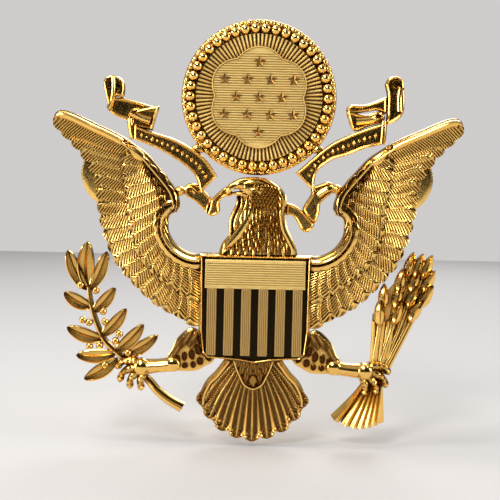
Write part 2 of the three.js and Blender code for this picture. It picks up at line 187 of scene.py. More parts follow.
class Relief:
    """Collects closed forms, in millimetres, and turns them into one object."""

    def __init__(self):
        self.points = []
        self.faces = []
        self.shade = []

    def add(self, points, faces, shade=0.0):
        """Adds a form. Its shade is painted shade: it darkens the form's colour to the shade colour of the
        grooves at 1 and nearly to black at 1.5.
        """
        start = len(self.points)
        self.points.extend(points)
        self.faces.extend([tuple(start + i for i in face) for face in faces])
        self.shade.extend([shade] * len(points))

    def framed(self, outline, back, field, rim, border=0.35, draft=0.15, shade=1.0):
        """Adds a sunk plate, darkened with painted shade, inside a raised border with a rounded top."""
        if not turns_left(outline):
            outline = outline[::-1]
        middle = (draft + border) / 2
        section = [(0.0, back), (draft, rim - 0.26), (draft * 0.6 + middle * 0.4, rim - 0.07), (middle, rim),
                   (border * 0.6 + middle * 0.4, rim - 0.07), (border, rim - 0.22),
                   (border + 0.08, field - 0.05), (border + 0.08, back)]
        self.add(*moulding(outline, section, closed=True))
        self.add(*plate(offset(outline, border, closed=True), back, field), shade)

    def object(self, name, material, sharp=38):
        """The forms as one piece. A piece never takes the very name of a solid that it stands for."""
        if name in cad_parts:
            name = f"{name}_relief"
        mesh = bpy.data.meshes.new(name)
        mesh.from_pydata([tuple(v * MM for v in p) for p in self.points], [], self.faces)
        # Each point's painted shade is stored for the material.
        mesh.attributes.new("painted_shade", "FLOAT", "POINT").data.foreach_set("value", self.shade)
        mesh.materials.append(material)
        piece = bpy.data.objects.new(name, mesh)
        bpy.context.scene.collection.objects.link(piece)
        tidy(piece, sharp)
        return piece

    def settle(self, name, slot, stands_for=None, body="badge", sharp=38):
        """Makes the piece in the finish of a slot, and says what it moves with and stands for."""
        settle(self.object(name, finish_of(slot), sharp), stands_for, body)


def tidy(piece, sharp=38):
    """Merges doubles, turns the faces outwards and shades the piece smooth except at its edges."""
    bm = bmesh.new()
    bm.from_mesh(piece.data)
    bmesh.ops.remove_doubles(bm, verts=bm.verts, dist=1e-6)
    bmesh.ops.dissolve_degenerate(bm, edges=bm.edges, dist=1e-7)
    bmesh.ops.recalc_face_normals(bm, faces=bm.faces)
    bm.to_mesh(piece.data)
    bm.free()
    piece.data.shade_smooth()
    piece.data.set_sharp_from_angle(angle=math.radians(sharp))


def grid_faces(rows, columns, wrap_rows=False, wrap_columns=False):
    """The quads between the points of a grid that is stored row by row."""
    faces = []
    for i in range(rows if wrap_rows else rows - 1):
        for j in range(columns if wrap_columns else columns - 1):
            a, b = i * columns, ((i + 1) % rows) * columns
            k = (j + 1) % columns
            faces.append((a + j, a + k, b + k, b + j))
    return faces


def moulding(path, section, closed=False, widths=None, depths=None):
    """A closed section carried along a path. Section points are (inset, depth); the inset goes to
    the left of the way the path runs."""
    side = normals(path, closed)
    count = len(section)
    points = []
    for i, ((x, z), (nx, nz)) in enumerate(zip(path, side)):
        wide = widths[i] if widths else 1.0
        deep = depths[i] if depths else 1.0
        points.extend((x + nx * inset * wide, -depth * deep, z + nz * inset * wide)
                      for inset, depth in section)
    faces = grid_faces(len(path), count, wrap_rows=closed, wrap_columns=True)
    if not closed:
        faces.append(tuple(range(count)))
        faces.append(tuple(range((len(path) - 1) * count, len(path) * count)))
    return points, faces


def plate(outline, back, front, draft=0.0, rounding=0.0):
    """A flat plate between two depths, its walls leaning in by the draft and its edge rounded."""
    if not turns_left(outline):
        outline = outline[::-1]
    rings = [(0.0, back), (draft, front - rounding)]
    if rounding:
        rings += [(draft + rounding * 0.3, front - rounding * 0.3), (draft + rounding, front)]
    count = len(outline)
    points = []
    for inset, depth in rings:
        points.extend((x, -depth, z) for x, z in offset(outline, inset, closed=True))
    faces = grid_faces(len(rings), count, wrap_columns=True)
    top = (len(rings) - 1) * count
    for a, b, c in tessellate_polygon([[Vector((x, z, 0)) for x, z in outline]]):
        faces.append((a, b, c))
        faces.append((top + c, top + b, top + a))
    return points, faces


def dome(outline, centre, back, edge, crown, rings=8, roundness=2.0):
    """A swelling form over an outline that its centre can see all of."""
    count = len(outline)
    points = [(x, -back, z) for x, z in outline]
    for k in range(rings):
        inward = k / rings
        lift = (1 - (1 - inward) ** roundness) ** (1 / roundness)
        for x, z in outline:
            points.append((x + (centre[0] - x) * inward, -(edge + (crown - edge) * lift),
                           z + (centre[1] - z) * inward))
    faces = grid_faces(rings + 1, count, wrap_columns=True)
    points.append((centre[0], -crown, centre[1]))
    tip, last = len(points) - 1, rings * count
    faces += [(last + j, last + (j + 1) % count, tip) for j in range(count)]
    for a, b, c in tessellate_polygon([[Vector((x, z, 0)) for x, z in outline]]):
        faces.append((a, b, c))
    return points, faces


def strip(left, right, section, back=0.0):
    """A band between two edge lines. Section points are (share across, mm further in, depth)."""
    points = []
    for (x0, z0), (x1, z1) in zip(left, right):
        wide = math.hypot(x1 - x0, z1 - z0) or 1.0
        for share, further, depth in section:
            t = share + further / wide
            points.append((x0 + (x1 - x0) * t, -depth, z0 + (z1 - z0) * t))
        points.append((x1, -back, z1))
        points.append((x0, -back, z0))
    count = len(section) + 2
    faces = grid_faces(len(left), count, wrap_columns=True)
    faces.append(tuple(range(count)))
    faces.append(tuple(range((len(left) - 1) * count, len(left) * count)))
    return points, faces


def turned(profile, centre, segments=48):
    """A profile of (radius, y) turned round an axis along Y through the centre (x, z)."""
    points = []
    for i in range(segments):
        turn = 2 * math.pi * i / segments
        points.extend((centre[0] + r * math.cos(turn), y, centre[1] + r * math.sin(turn))
                      for r, y in profile)
    return points, grid_faces(segments, len(profile), wrap_rows=True, wrap_columns=True)


def ring_of(count, radius, centre=(0.0, DISC_Z), lobes=0, swell=0.0):
    """A round outline, or one with lobes that swell out from it."""
    line = []
    for i in range(count):
        turn = 2 * math.pi * i / count
        reach = radius + (swell * abs(math.cos(lobes * turn / 2)) if lobes else 0.0)
        line.append((centre[0] - reach * math.sin(turn), centre[1] + reach * math.cos(turn)))
    return line


def oval(centre, wide, high, count=28):
    """An ellipse with its half width and half height."""
    turns = [2 * math.pi * k / count for k in range(count)]
    return [(centre[0] + wide * math.cos(turn), centre[1] + high * math.sin(turn)) for turn in turns]


# ---- geometry node trees ----


class Tree:
    """A short way to write a geometry node tree: nodes by kind, sockets by name."""

    def __init__(self, name, inputs):
        self.group = bpy.data.node_groups.new(name, "GeometryNodeTree")
        self.group.interface.new_socket("Geometry", in_out="INPUT", socket_type="NodeSocketGeometry")
        for label, kind, default in inputs:
            made = self.group.interface.new_socket(label, in_out="INPUT", socket_type="NodeSocket" + kind)
            if default is not None:
                made.default_value = default
        self.group.interface.new_socket("Material", in_out="INPUT", socket_type="NodeSocketMaterial")
        self.group.interface.new_socket("Geometry", in_out="OUTPUT", socket_type="NodeSocketGeometry")
        self.given = self.group.nodes.new("NodeGroupInput")
        self.places = 0

    def __getitem__(self, label):
        return self.given.outputs[label]

    def node(self, kind, inputs=(), out=0, **settings):
        made = self.group.nodes.new(kind)
        self.places += 1
        made.location = (self.places * 180, 0)
        for key, value in settings.items():
            setattr(made, key, value)
        for key, value in dict(inputs).items():
            self.feed(made.inputs[key], value)
        return made.outputs[out]

    def feed(self, socket, value):
        if isinstance(value, bpy.types.NodeSocket):
            self.group.links.new(value, socket)
        else:
            socket.default_value = value

    def maths(self, operation, *values):
        made = self.group.nodes.new("ShaderNodeMath")
        made.operation = operation
        for socket, value in zip(made.inputs, values):
            self.feed(socket, value)
        return made.outputs[0]

    def vector(self, operation, *values):
        made = self.group.nodes.new("ShaderNodeVectorMath")
        made.operation = operation
        for socket, value in zip(made.inputs, values):
            self.feed(socket, value)
        return made.outputs[0]

    def scaled(self, vector, by):
        return self.node("ShaderNodeVectorMath", {"Vector": vector, "Scale": by}, operation="SCALE")

    def xyz(self, x=0.0, y=0.0, z=0.0):
        return self.node("ShaderNodeCombineXYZ", {"X": x, "Y": y, "Z": z})

    def named(self, name, data_type="FLOAT"):
        return self.node("GeometryNodeInputNamedAttribute", {"Name": name}, data_type=data_type)

    def store(self, geometry, name, value, data_type="FLOAT"):
        return self.node("GeometryNodeStoreNamedAttribute",
                         {"Geometry": geometry, "Name": name, "Value": value},
                         data_type=data_type, domain="POINT")

    def pick(self, index, values):
        """The value that stands at an index in a short list."""
        made = self.group.nodes.new("GeometryNodeIndexSwitch")
        made.data_type = "FLOAT"
        while len(made.index_switch_items) < len(values):
            made.index_switch_items.new()
        self.feed(made.inputs["Index"], index)
        for i, value in enumerate(values):
            made.inputs[f"{i}"].default_value = value
        return made.outputs[0]

    def end(self, geometry):
        real = self.node("GeometryNodeRealizeInstances", {"Geometry": geometry})
        done = self.node("GeometryNodeSetMaterial", {"Geometry": real, "Material": self["Material"]})
        out = self.group.nodes.new("NodeGroupOutput")
        self.group.links.new(done, out.inputs[0])
        return self.group


def vane_tree():
    """Feathers, leaves, claws and arrowheads: a ridged blade along each line it is given.

    Each line's points carry half_width, level (how high the blade stands), tilt and floor.
    """
    t = Tree("vanes", [("Barb pitch", "Float", 0.00038), ("Barb depth", "Float", 0.0),
                       ("Barb lean", "Float", 0.8), ("Crown", "Float", 0.0), ("Border", "Float", 0.0),
                       ("Shaft", "Float", 0.0), ("Shaft place", "Float", 0.0),
                       ("Hollow shade", "Float", 0.0), ("Rows per barb", "Int", 4)])
    rows = t["Rows per barb"]
    line = t.node("GeometryNodeMeshToCurve", {"Mesh": t["Geometry"]})
    step = t.maths("DIVIDE", t["Barb pitch"], rows)
    line = t.node("GeometryNodeResampleCurve", {"Curve": line, "Length": step}, mode="LENGTH")
    row = t.node("GeometryNodeSplineParameter", out=2)
    line = t.store(line, "row", row)
    line = t.store(line, "middle", t.node("GeometryNodeInputPosition"), "FLOAT_VECTOR")
    line = t.store(line, "heading", t.node("GeometryNodeInputTangent"), "FLOAT_VECTOR")
    # The section is a loop of eleven points: nine over the top, and two below.
    loop = t.node("GeometryNodeCurvePrimitiveCircle", {"Resolution": 11, "Radius": 0.0001})
    index = t.node("GeometryNodeInputIndex")
    loop = t.store(loop, "across", t.pick(index, [-1, -0.86, -0.7, -0.17, 0, 0.17, 0.7, 0.86, 1, 1, -1]))
    loop = t.store(loop, "edge", t.pick(index, [0.75, 1, 0, 0, 0, 0, 0, 1, 0.75, 0, 0]))
    loop = t.store(loop, "spine", t.pick(index, [0, 0, 0, 0, 1, 0, 0, 0, 0, 0, 0]))
    loop = t.store(loop, "top", t.pick(index, [1, 1, 1, 1, 1, 1, 1, 1, 1, 0, 0]))
    blade = t.node("GeometryNodeCurveToMesh", {"Curve": line, "Profile Curve": loop, "Fill Caps": True})

    across, width = t.named("across"), t.named("half_width")
    heading = t.named("heading", "FLOAT_VECTOR")
    spine, edge, top = t.named("spine"), t.named("edge"), t.named("top")
    side = t.vector("CROSS_PRODUCT", heading, (0.0, 1.0, 0.0))
    round_off = t.maths("SUBTRACT", 1.0, t.maths("MULTIPLY", across, across))
    lateral = t.maths("ADD", across, t.maths("MULTIPLY", t["Shaft place"], round_off))
    lateral = t.maths("MULTIPLY", lateral, width)
    # The middle of a row lags behind its ends, so barbs lean forward and the outline keeps its shape.
    lag = t.maths("SUBTRACT", t.maths("ABSOLUTE", across), 1.0)
    swept = t.maths("MULTIPLY", t.maths("MULTIPLY", lag, width), t["Barb lean"])
    # One barb is a ridge with a sharp groove before it.
    turn = t.maths("DIVIDE", t.maths("MULTIPLY", t.named("row"), math.pi), rows)
    wave = t.maths("POWER", t.maths("ABSOLUTE", t.maths("SINE", turn)), 0.8)
    fade = t.maths("MINIMUM", t.maths("DIVIDE", width, 0.0004), 1.0)
    off_spine = t.maths("SUBTRACT", 1.0, spine)
    barb = t.maths("MULTIPLY", t.maths("MULTIPLY", wave, off_spine), fade)
    height = t.maths("ADD", t.named("level"), t.maths("MULTIPLY", t.named("tilt"), across))
    height = t.maths("ADD", height, t.maths("MULTIPLY", t["Crown"], round_off))
    height = t.maths("ADD", height, t.maths("MULTIPLY", t.maths("MULTIPLY", t["Border"], edge), fade))
    height = t.maths("ADD", height, t.maths("MULTIPLY", t.maths("MULTIPLY", t["Shaft"], spine), fade))
    height = t.maths("ADD", height, t.maths("MULTIPLY", t["Barb depth"], barb))
    depth = t.node("ShaderNodeMix", {"Factor": top, "A": t.named("floor"), "B": height},
                   data_type="FLOAT")
    place = t.vector("MULTIPLY", t.named("middle", "FLOAT_VECTOR"), (1.0, 0.0, 1.0))
    place = t.vector("ADD", place, t.scaled(side, lateral))
    place = t.vector("ADD", place, t.scaled(heading, swept))
    place = t.vector("ADD", place, t.xyz(y=t.maths("MULTIPLY", depth, -1.0)))
    blade = t.node("GeometryNodeSetPosition", {"Geometry": blade, "Position": place})
    # Painted shade: the cut before each barb and the hollow inside the border are darkened in colour.
    has_barbs = t.maths("GREATER_THAN", t["Barb depth"], 0.00001)
    cut = t.maths("MULTIPLY", t.maths("SUBTRACT", 1.0, wave), 1.6)
    painted_shade = t.maths("MULTIPLY", t.maths("MULTIPLY", cut, off_spine), has_barbs)
    hollow = t.maths("MULTIPLY", t.maths("SUBTRACT", 1.0, edge), off_spine)
    hollow = t.maths("MULTIPLY", t["Hollow shade"], hollow)
    painted_shade = t.maths("ADD", painted_shade, hollow)
    blade = t.store(blade, "painted_shade", t.maths("MINIMUM", painted_shade, 1.0))
    return t.end(blade)


def upright(t, geometry):
    """Turns what lies in XY to stand in the badge's face."""
    return t.node("GeometryNodeTransform", {"Geometry": geometry, "Rotation": (math.pi / 2, 0.0, 0.0)})


def circle_of_beads_tree():
    """Round beads, evenly spaced on a circle."""
    t = Tree("beads", [("Count", "Int", 40), ("Circle radius", "Float", 0.0107),
                       ("Bead radius", "Float", 0.0008), ("Flatness", "Float", 1.0),
                       ("Centre", "Vector", (0.0, 0.0, 0.0))])
    circle = t.node("GeometryNodeMeshCircle", {"Vertices": t["Count"], "Radius": t["Circle radius"]})
    bead = t.node("GeometryNodeMeshUVSphere", {"Segments": 20, "Rings": 12, "Radius": t["Bead radius"]})
    scale = t.xyz(1.0, 1.0, t["Flatness"])
    beads = t.node("GeometryNodeInstanceOnPoints", {"Points": circle, "Instance": bead, "Scale": scale})
    moved = t.node("GeometryNodeTransform", {"Geometry": upright(t, beads), "Translation": t["Centre"]})
    return t.end(moved)


def rays_tree():
    """Thin ridges that spread from a centre."""
    t = Tree("rays", [("Count", "Int", 94), ("Inner radius", "Float", 0.007),
                      ("Outer radius", "Float", 0.0099), ("Width", "Float", 0.0004),
                      ("Height", "Float", 0.0003), ("Centre", "Vector", (0.0, 0.0, 0.0))])
    length = t.maths("SUBTRACT", t["Outer radius"], t["Inner radius"])
    middle = t.maths("DIVIDE", t.maths("ADD", t["Outer radius"], t["Inner radius"]), 2.0)
    half = t.maths("DIVIDE", t["Width"], 2.0)
    inner = t.maths("MULTIPLY", half, 0.72)
    ray = t.node("GeometryNodeMeshCone", {"Vertices": 6, "Side Segments": 2, "Radius Top": half,
                                          "Radius Bottom": inner, "Depth": length})
    # The cone points along Z: it is laid along X, centred on its length, and flattened.
    ray = t.node("GeometryNodeTransform", {"Geometry": ray, "Translation": t.xyz(
        z=t.maths("DIVIDE", length, -2.0))})
    ray = t.node("GeometryNodeTransform", {"Geometry": ray, "Rotation": (0.0, math.pi / 2, 0.0)})
    flat = t.maths("DIVIDE", t["Height"], half)
    ray = t.node("GeometryNodeTransform", {"Geometry": ray, "Scale": t.xyz(1.0, 1.0, flat)})
    circle = t.node("GeometryNodeMeshCircle", {"Vertices": t["Count"], "Radius": middle})
    index = t.node("GeometryNodeInputIndex")
    turn = t.maths("DIVIDE", t.maths("MULTIPLY", index, 2 * math.pi), t["Count"])
    spin = t.node("FunctionNodeEulerToRotation", {"Euler": t.xyz(z=turn)})
    rays = t.node("GeometryNodeInstanceOnPoints", {"Points": circle, "Instance": ray, "Rotation": spin})
    moved = t.node("GeometryNodeTransform", {"Geometry": upright(t, rays), "Translation": t["Centre"]})
    return t.end(moved)


def stars_tree():
    """Faceted five-pointed stars, one at each point it is given."""
    t = Tree("stars", [("Radius", "Float", 0.001), ("Waist", "Float", 0.42), ("Height", "Float", 0.0006)])
    cone = t.node("GeometryNodeMeshCone", {"Vertices": 10, "Radius Top": 0.0,
                                           "Radius Bottom": t["Radius"], "Depth": t["Height"]})
    spot = t.node("GeometryNodeInputPosition")
    angle = t.maths("ARCTAN2", *[t.node("ShaderNodeSeparateXYZ", {"Vector": spot}, out=k) for k in (1, 0)])
    # Each second corner of the base is drawn in to the waist.
    parity = t.maths("ABSOLUTE", t.maths("SINE", t.maths("MULTIPLY", angle, 2.5)))
    pull = t.maths("ADD", 1.0, t.maths("MULTIPLY", t.maths("ROUND", parity),
                                       t.maths("SUBTRACT", t["Waist"], 1.0)))
    star = t.node("GeometryNodeSetPosition", {
        "Geometry": cone, "Position": t.vector("MULTIPLY", spot, t.xyz(pull, pull, 1.0))})
    star = t.node("GeometryNodeTransform", {"Geometry": star, "Rotation": (0.0, 0.0, math.pi / 2)})
    stars = t.node("GeometryNodeInstanceOnPoints", {"Points": t["Geometry"],
                                                    "Instance": upright(t, star)})
    return t.end(stars)


def ridges_tree():
    """Fine raised lines: one at each point, with its own length (reach) and turn."""
    t = Tree("ridges", [("Width", "Float", 0.0003), ("Height", "Float", 0.00015), ("Sides", "Int", 6)])
    bar = t.node("GeometryNodeMeshCylinder", {"Vertices": t["Sides"],
                                              "Radius": t.maths("DIVIDE", t["Width"], 2.0), "Depth": 2.0})
    bar = t.node("GeometryNodeTransform", {"Geometry": bar, "Rotation": (0.0, math.pi / 2, 0.0)})
    flat = t.maths("DIVIDE", t["Height"], t.maths("DIVIDE", t["Width"], 2.0))
    bar = t.node("GeometryNodeTransform", {"Geometry": bar, "Scale": t.xyz(1.0, flat, 1.0)})
    turn = t.maths("MULTIPLY", t.named("turn"), -1.0)
    spin = t.node("FunctionNodeEulerToRotation", {"Euler": t.xyz(y=turn)})
    bars = t.node("GeometryNodeInstanceOnPoints", {
        "Points": t["Geometry"], "Instance": bar, "Rotation": spin,
        "Scale": t.xyz(t.named("reach"), 1.0, 1.0)})
    return t.end(bars)


def domes_tree():
    """Low round studs, one at each point, each with its own size; they may have a dimple."""
    t = Tree("domes", [("Flatness", "Float", 0.6), ("Dimple", "Float", 0.0)])
    ball = t.node("GeometryNodeMeshUVSphere", {"Segments": 18, "Rings": 12, "Radius": 1.0})
    spot = t.node("GeometryNodeInputPosition")
    height = t.node("ShaderNodeSeparateXYZ", {"Vector": spot}, out=2)
    near_pole = t.maths("MULTIPLY", t.maths("GREATER_THAN", height, 0.93), t["Dimple"])
    ball = t.node("GeometryNodeSetPosition", {
        "Geometry": ball, "Offset": t.xyz(z=t.maths("MULTIPLY", near_pole, -1.0))})
    # Painted shade darkens the dimple.
    ball = t.store(ball, "painted_shade", near_pole)
    size = t.named("size")
    scale = t.xyz(size, size, t.maths("MULTIPLY", size, t["Flatness"]))
    domes = t.node("GeometryNodeInstanceOnPoints", {
        "Points": t["Geometry"], "Instance": ball, "Scale": scale,
        "Rotation": t.node("FunctionNodeEulerToRotation", {"Euler": (math.pi / 2, 0.0, 0.0)})})
    return t.end(domes)


TREES = {"vanes": vane_tree, "beads": circle_of_beads_tree, "rays": rays_tree, "stars": stars_tree,
         "ridges": ridges_tree, "domes": domes_tree}


def grown(name, tree, source, material, sharp=50, **inputs):
    """Runs a tree on a source mesh and returns the plain object it makes."""
    group = bpy.data.node_groups.get(tree) or TREES[tree]()
    piece = bpy.data.objects.new(name, source)
    bpy.context.scene.collection.objects.link(piece)
    modifier = piece.modifiers.new("Build", "NODES")
    modifier.node_group = group
    sockets = {s.name: s.identifier for s in group.interface.items_tree if s.in_out == "INPUT"}
    for label, value in {**inputs, "Material": material}.items():
        modifier[sockets[label.replace("_", " ")]] = value
    depsgraph = bpy.context.evaluated_depsgraph_get()
    built = bpy.data.meshes.new_from_object(piece.evaluated_get(depsgraph), depsgraph=depsgraph)
    piece.modifiers.remove(modifier)
    piece.data = built
    built.name = name
    bpy.data.meshes.remove(source)
    if not built.materials:
        built.materials.append(material)
    tidy(piece, sharp)
    return piece


def marked_points(points, **attributes):
    """A mesh of loose points (x, depth, z), each with named numbers."""
    mesh = bpy.data.meshes.new("points")
    mesh.from_pydata([(x * MM, -depth * MM, z * MM) for x, depth, z in points], [], [])
    for name, values in attributes.items():
        mesh.attributes.new(name, "FLOAT", "POINT").data.foreach_set("value", values)
    return mesh


class Vanes:
    """Collects blades: each is a line with a width, a level at its root and tip, a tilt and a floor."""

    def __init__(self):
        self.rows = []

    def add(self, line, half_width, level, tip_level=None, tilt=0.0, floor=0.0, shape=feather_width,
            count=22):
        tip_level = level if tip_level is None else tip_level
        points = resampled(line, count)
        blade = []
        for i, (x, z) in enumerate(points):
            t = i / (count - 1)
            blade.append((x, z, max(half_width * shape(t), 0.004), level + (tip_level - level) * t,
                          tilt, floor))
        self.rows.append(blade)

    def mirrored(self):
        other = Vanes()
        other.rows = [[(-x, z, w, level, -tilt, floor) for x, z, w, level, tilt, floor in blade]
                      for blade in self.rows]
        return other

    def object(self, name, material, sharp=50, **inputs):
        mesh = bpy.data.meshes.new(name + "_lines")
        points, edges, values = [], [], []
        for blade in self.rows:
            start = len(points)
            points.extend((x * MM, 0.0, z * MM) for x, z, *_ in blade)
            edges.extend((start + i, start + i + 1) for i in range(len(blade) - 1))
            values.extend(row[2:] for row in blade)
        mesh.from_pydata(points, edges, [])
        for k, label in enumerate(("half_width", "level", "tilt", "floor")):
            layer = mesh.attributes.new(label, "FLOAT", "POINT")
            layer.data.foreach_set("value", [v[k] * MM for v in values])
        return grown(name, "vanes", mesh, material, sharp, **inputs)

    def settle(self, name, sharp=50, **inputs):
        """Makes the piece in polished gold; it moves with the badge."""
        settle(self.object(name, finish_of("gold_plate"), sharp, **inputs))


# ---- finishes ----

# Painted shade: within this reach of a wall, a surface's colour is darkened as shade.
GROOVE_REACH = 0.0009   # how near a wall stands when it makes a groove dull and dark
SCRATCH_DEPTH = 0.00002
MOTTLE_SCALE, WEAR_SCALE, SCRATCH_SCALE = 900.0, 2600.0, 1800.0
DARKEST_PAINTED_SHADE = (0.02, 0.013, 0.006)


def gold(name, base, painted_shade, roughness, scratch=0.3, metal=1.0, mottle=0.06):
    """Plated metal: duller in its grooves and darker there with painted shade, with fine handling marks on
    its faces.
    """
    material = bpy.data.materials.new(name)
    material.use_nodes = True
    nodes, links = material.node_tree.nodes, material.node_tree.links
    shader = nodes["Principled BSDF"]
    shader.inputs["Metallic"].default_value = metal
    place = nodes.new("ShaderNodeTexCoord")

    def noise(scale, detail=3.0, stretch=None):
        made = nodes.new("ShaderNodeTexNoise")
        made.inputs["Scale"].default_value = scale
        made.inputs["Detail"].default_value = detail
        source = place.outputs["Object"]
        if stretch:
            mapping = nodes.new("ShaderNodeMapping")
            mapping.inputs["Scale"].default_value = stretch
            links.new(source, mapping.inputs["Vector"])
            source = mapping.outputs["Vector"]
        links.new(source, made.inputs["Vector"])
        return made.outputs["Fac"]

    def ranged(value, low, high, start=0.3, stop=0.7):
        made = nodes.new("ShaderNodeMapRange")
        made.inputs["From Min"].default_value = start
        made.inputs["From Max"].default_value = stop
        made.inputs["To Min"].default_value = low
        made.inputs["To Max"].default_value = high
        links.new(value, made.inputs["Value"])
        return made.outputs["Result"]

    def blend(factor, a, b):
        made = nodes.new("ShaderNodeMix")
        made.data_type = "RGBA"
        for socket, value in ((made.inputs["A"], a), (made.inputs["B"], b)):
            if isinstance(value, bpy.types.NodeSocket):
                links.new(value, socket)
            else:
                socket.default_value = (*value, 1.0)
        links.new(factor, made.inputs["Factor"])
        return made.outputs["Result"]

    # Painted shade: the stored shade and the nearness of walls darken the colour towards the shade colour.
    shade_attribute = nodes.new("ShaderNodeAttribute")
    shade_attribute.attribute_name = "painted_shade"
    cavity = nodes.new("ShaderNodeAmbientOcclusion")
    cavity.samples = 6
    cavity.inputs["Distance"].default_value = GROOVE_REACH
    shut_in = ranged(cavity.outputs["AO"], 1.0, 0.0, 0.35, 0.97)
    deep = nodes.new("ShaderNodeMath")
    deep.operation = "MAXIMUM"
    links.new(shade_attribute.outputs["Fac"], deep.inputs[0])
    links.new(shut_in, deep.inputs[1])
    paler = tuple(min(1.0, c * (1 + mottle)) for c in base)
    redder = (base[0] * (1 - mottle * 0.3), base[1] * (1 - mottle), base[2] * (1 - mottle * 2))
    face = blend(ranged(noise(MOTTLE_SCALE), 0.0, 1.0), redder, paler)
    # Painted shade is mixed into the colour here.
    coloured = blend(ranged(deep.outputs[0], 0.0, 1.0, 0.15, 1.1), face, painted_shade)
    # Painted shade past 1 goes on from the grooves' shade colour to nearly black.
    links.new(blend(ranged(shade_attribute.outputs["Fac"], 0.0, 1.0, 1.0, 1.5), coloured, DARKEST_PAINTED_SHADE),
              shader.inputs["Base Color"])
    wear = ranged(noise(WEAR_SCALE, 4.0), roughness * 0.75, roughness * 1.3)
    dull = nodes.new("ShaderNodeMath")
    dull.operation = "MULTIPLY_ADD"
    links.new(shut_in, dull.inputs[0])
    dull.inputs[1].default_value = 0.12
    links.new(wear, dull.inputs[2])
    links.new(dull.outputs[0], shader.inputs["Roughness"])
    bump = nodes.new("ShaderNodeBump")
    bump.inputs["Strength"].default_value = scratch
    bump.inputs["Distance"].default_value = SCRATCH_DEPTH
    links.new(noise(SCRATCH_SCALE, 5.0, (1.0, 1.0, 0.35)), bump.inputs["Height"])
    links.new(bump.outputs["Normal"], shader.inputs["Normal"])
    return material


def finish_of(slot):
    """The material of a record slot, made once."""
    name = f"{slot}_finish"
    if name in bpy.data.materials:
        return bpy.data.materials[name]
    look = bpy.context.scene.badge_finish
    face, painted_shade = tuple(look.gold), tuple(look.painted_shade)
    settings = {
        "gold_plate": (face, painted_shade, look.polish, 0.1),
        "satin_gold": (tuple(look.ground), tuple(look.ground_painted_shade), look.satin, 0.4, 0.55),
        "solder": ((face[0], face[1] * 1.03, face[2] * 0.95), painted_shade, look.polish * 1.1, 0.15),
        "clutch_brass": ((face[0] * 0.94, face[1] * 0.98, face[2]), painted_shade, look.polish * 1.3, 0.4),
    }
    return gold(name, *settings[slot])


def paint_shade(piece, value_at):
    """Paints shade into a piece's colour, by a value at each of its points."""
    layer = piece.data.attributes.new("painted_shade", "FLOAT", "POINT")
    layer.data.foreach_set("value", [value_at(point.co) for point in piece.data.vertices])


def settle(piece, stands_for=None, body="badge"):
    """Hangs a piece on the body it moves with and hides the solid it stands for."""
    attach(piece, body)
    if stands_for:
        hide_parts(stands_for)


# ---- outlines of the left wing and the shield ----

LEADING_EDGE = [(-32.0, 27.8), (-31.7, 28.6), (-30.8, 29.05), (-29.0, 28.7), (-25.2, 27.0), (-22.9, 26.0),
                (-20.7, 24.9)]
SHOULDER = [(-20.7, 24.9), (-17.5, 22.7), (-15.8, 20.9), (-13.1, 17.7), (-12.2, 15.8), (-12.0, 14.4)]
INNER_RIM = [(-12.4, 13.5), (-13.5, 12.9), (-13.8, 11.0), (-13.2, 9.4), (-12.1, 8.1), (-10.8, 7.3),
             (-9.7, 7.0), (-8.8, 7.0)]
OUTER_EDGE = [(-8.8, -4.7), (-10.3, -3.9), (-12.3, -2.7), (-14.8, -1.5), (-17.8, 0.9), (-20.4, 3.7),
              (-22.4, 6.4), (-23.6, 9.5), (-24.4, 12.3), (-24.9, 15.4), (-25.2, 18.6), (-26.4, 21.4),
              (-28.6, 24.2), (-31.4, 26.9)]
OUTER_ROOTS = [(-9.0, -0.6), (-11.2, 1.4), (-13.8, 3.8), (-16.3, 6.6), (-18.0, 9.6), (-18.8, 13.0),
               (-19.1, 16.8), (-19.5, 20.0), (-19.9, 22.2), (-21.2, 24.2)]
MIDDLE_EDGE = [(-8.9, -0.6), (-12.1, 1.2), (-15.2, 3.4), (-17.8, 5.9), (-19.4, 9.1), (-20.2, 13.0),
               (-20.5, 16.9), (-21.0, 20.1), (-20.8, 23.4)]
MIDDLE_ROOTS = [(-9.0, 4.0), (-11.6, 5.4), (-13.3, 7.4), (-14.3, 10.0), (-14.5, 13.6), (-15.4, 17.0),
                (-16.8, 19.8), (-18.6, 22.2)]
LEADING_FEATHER = [(-20.6, 23.3), (-23.6, 24.3), (-26.6, 25.7), (-29.3, 26.8), (-31.9, 27.7)]
# The pointed feathers of the shoulder, from foot to tip, with their half widths.
SCAPULARS = [((-17.8, 21.9), (-16.7, 20.0), 0.55), ((-16.8, 20.9), (-15.4, 18.6), 0.65),
             ((-15.5, 19.9), (-13.9, 17.0), 0.8), ((-13.9, 17.8), (-12.9, 13.4), 0.95),
             ((-17.5, 20.6), (-16.3, 18.6), 0.5), ((-16.5, 19.3), (-15.4, 17.2), 0.55),
             ((-15.5, 17.7), (-14.4, 14.9), 0.7), ((-15.0, 15.7), (-14.2, 13.6), 0.5)]

SHIELD = [(0, -10.0), (2.6, -9.6), (5.4, -9.4), (7.3, -9.3), (8.2, -8.4), (8.6, -5.0), (8.75, 7.2),
          (-8.75, 7.2), (-8.6, -5.0), (-8.2, -8.4), (-7.3, -9.3), (-5.4, -9.4), (-2.6, -9.6)]
BAR_CENTRES = [(i - 2.5) * 2.68 for i in range(6)]
# The bars and their lines are darkened this far towards the lined ground's painted shade colour, so they read
# browner than the chief.
BAR_SHADE = 0.78   # the bars are browner than the chief


# ---- pieces ----


def build_body():
    relief = Relief()
    body = [(-BODY_HALF, -9.4), (BODY_HALF, -9.4), (BODY_HALF, 7.2), (-BODY_HALF, 7.2)]
    relief.add(*plate(body, 0.0, 1.6))
    relief.settle("body", "gold_plate", "eagle_body")


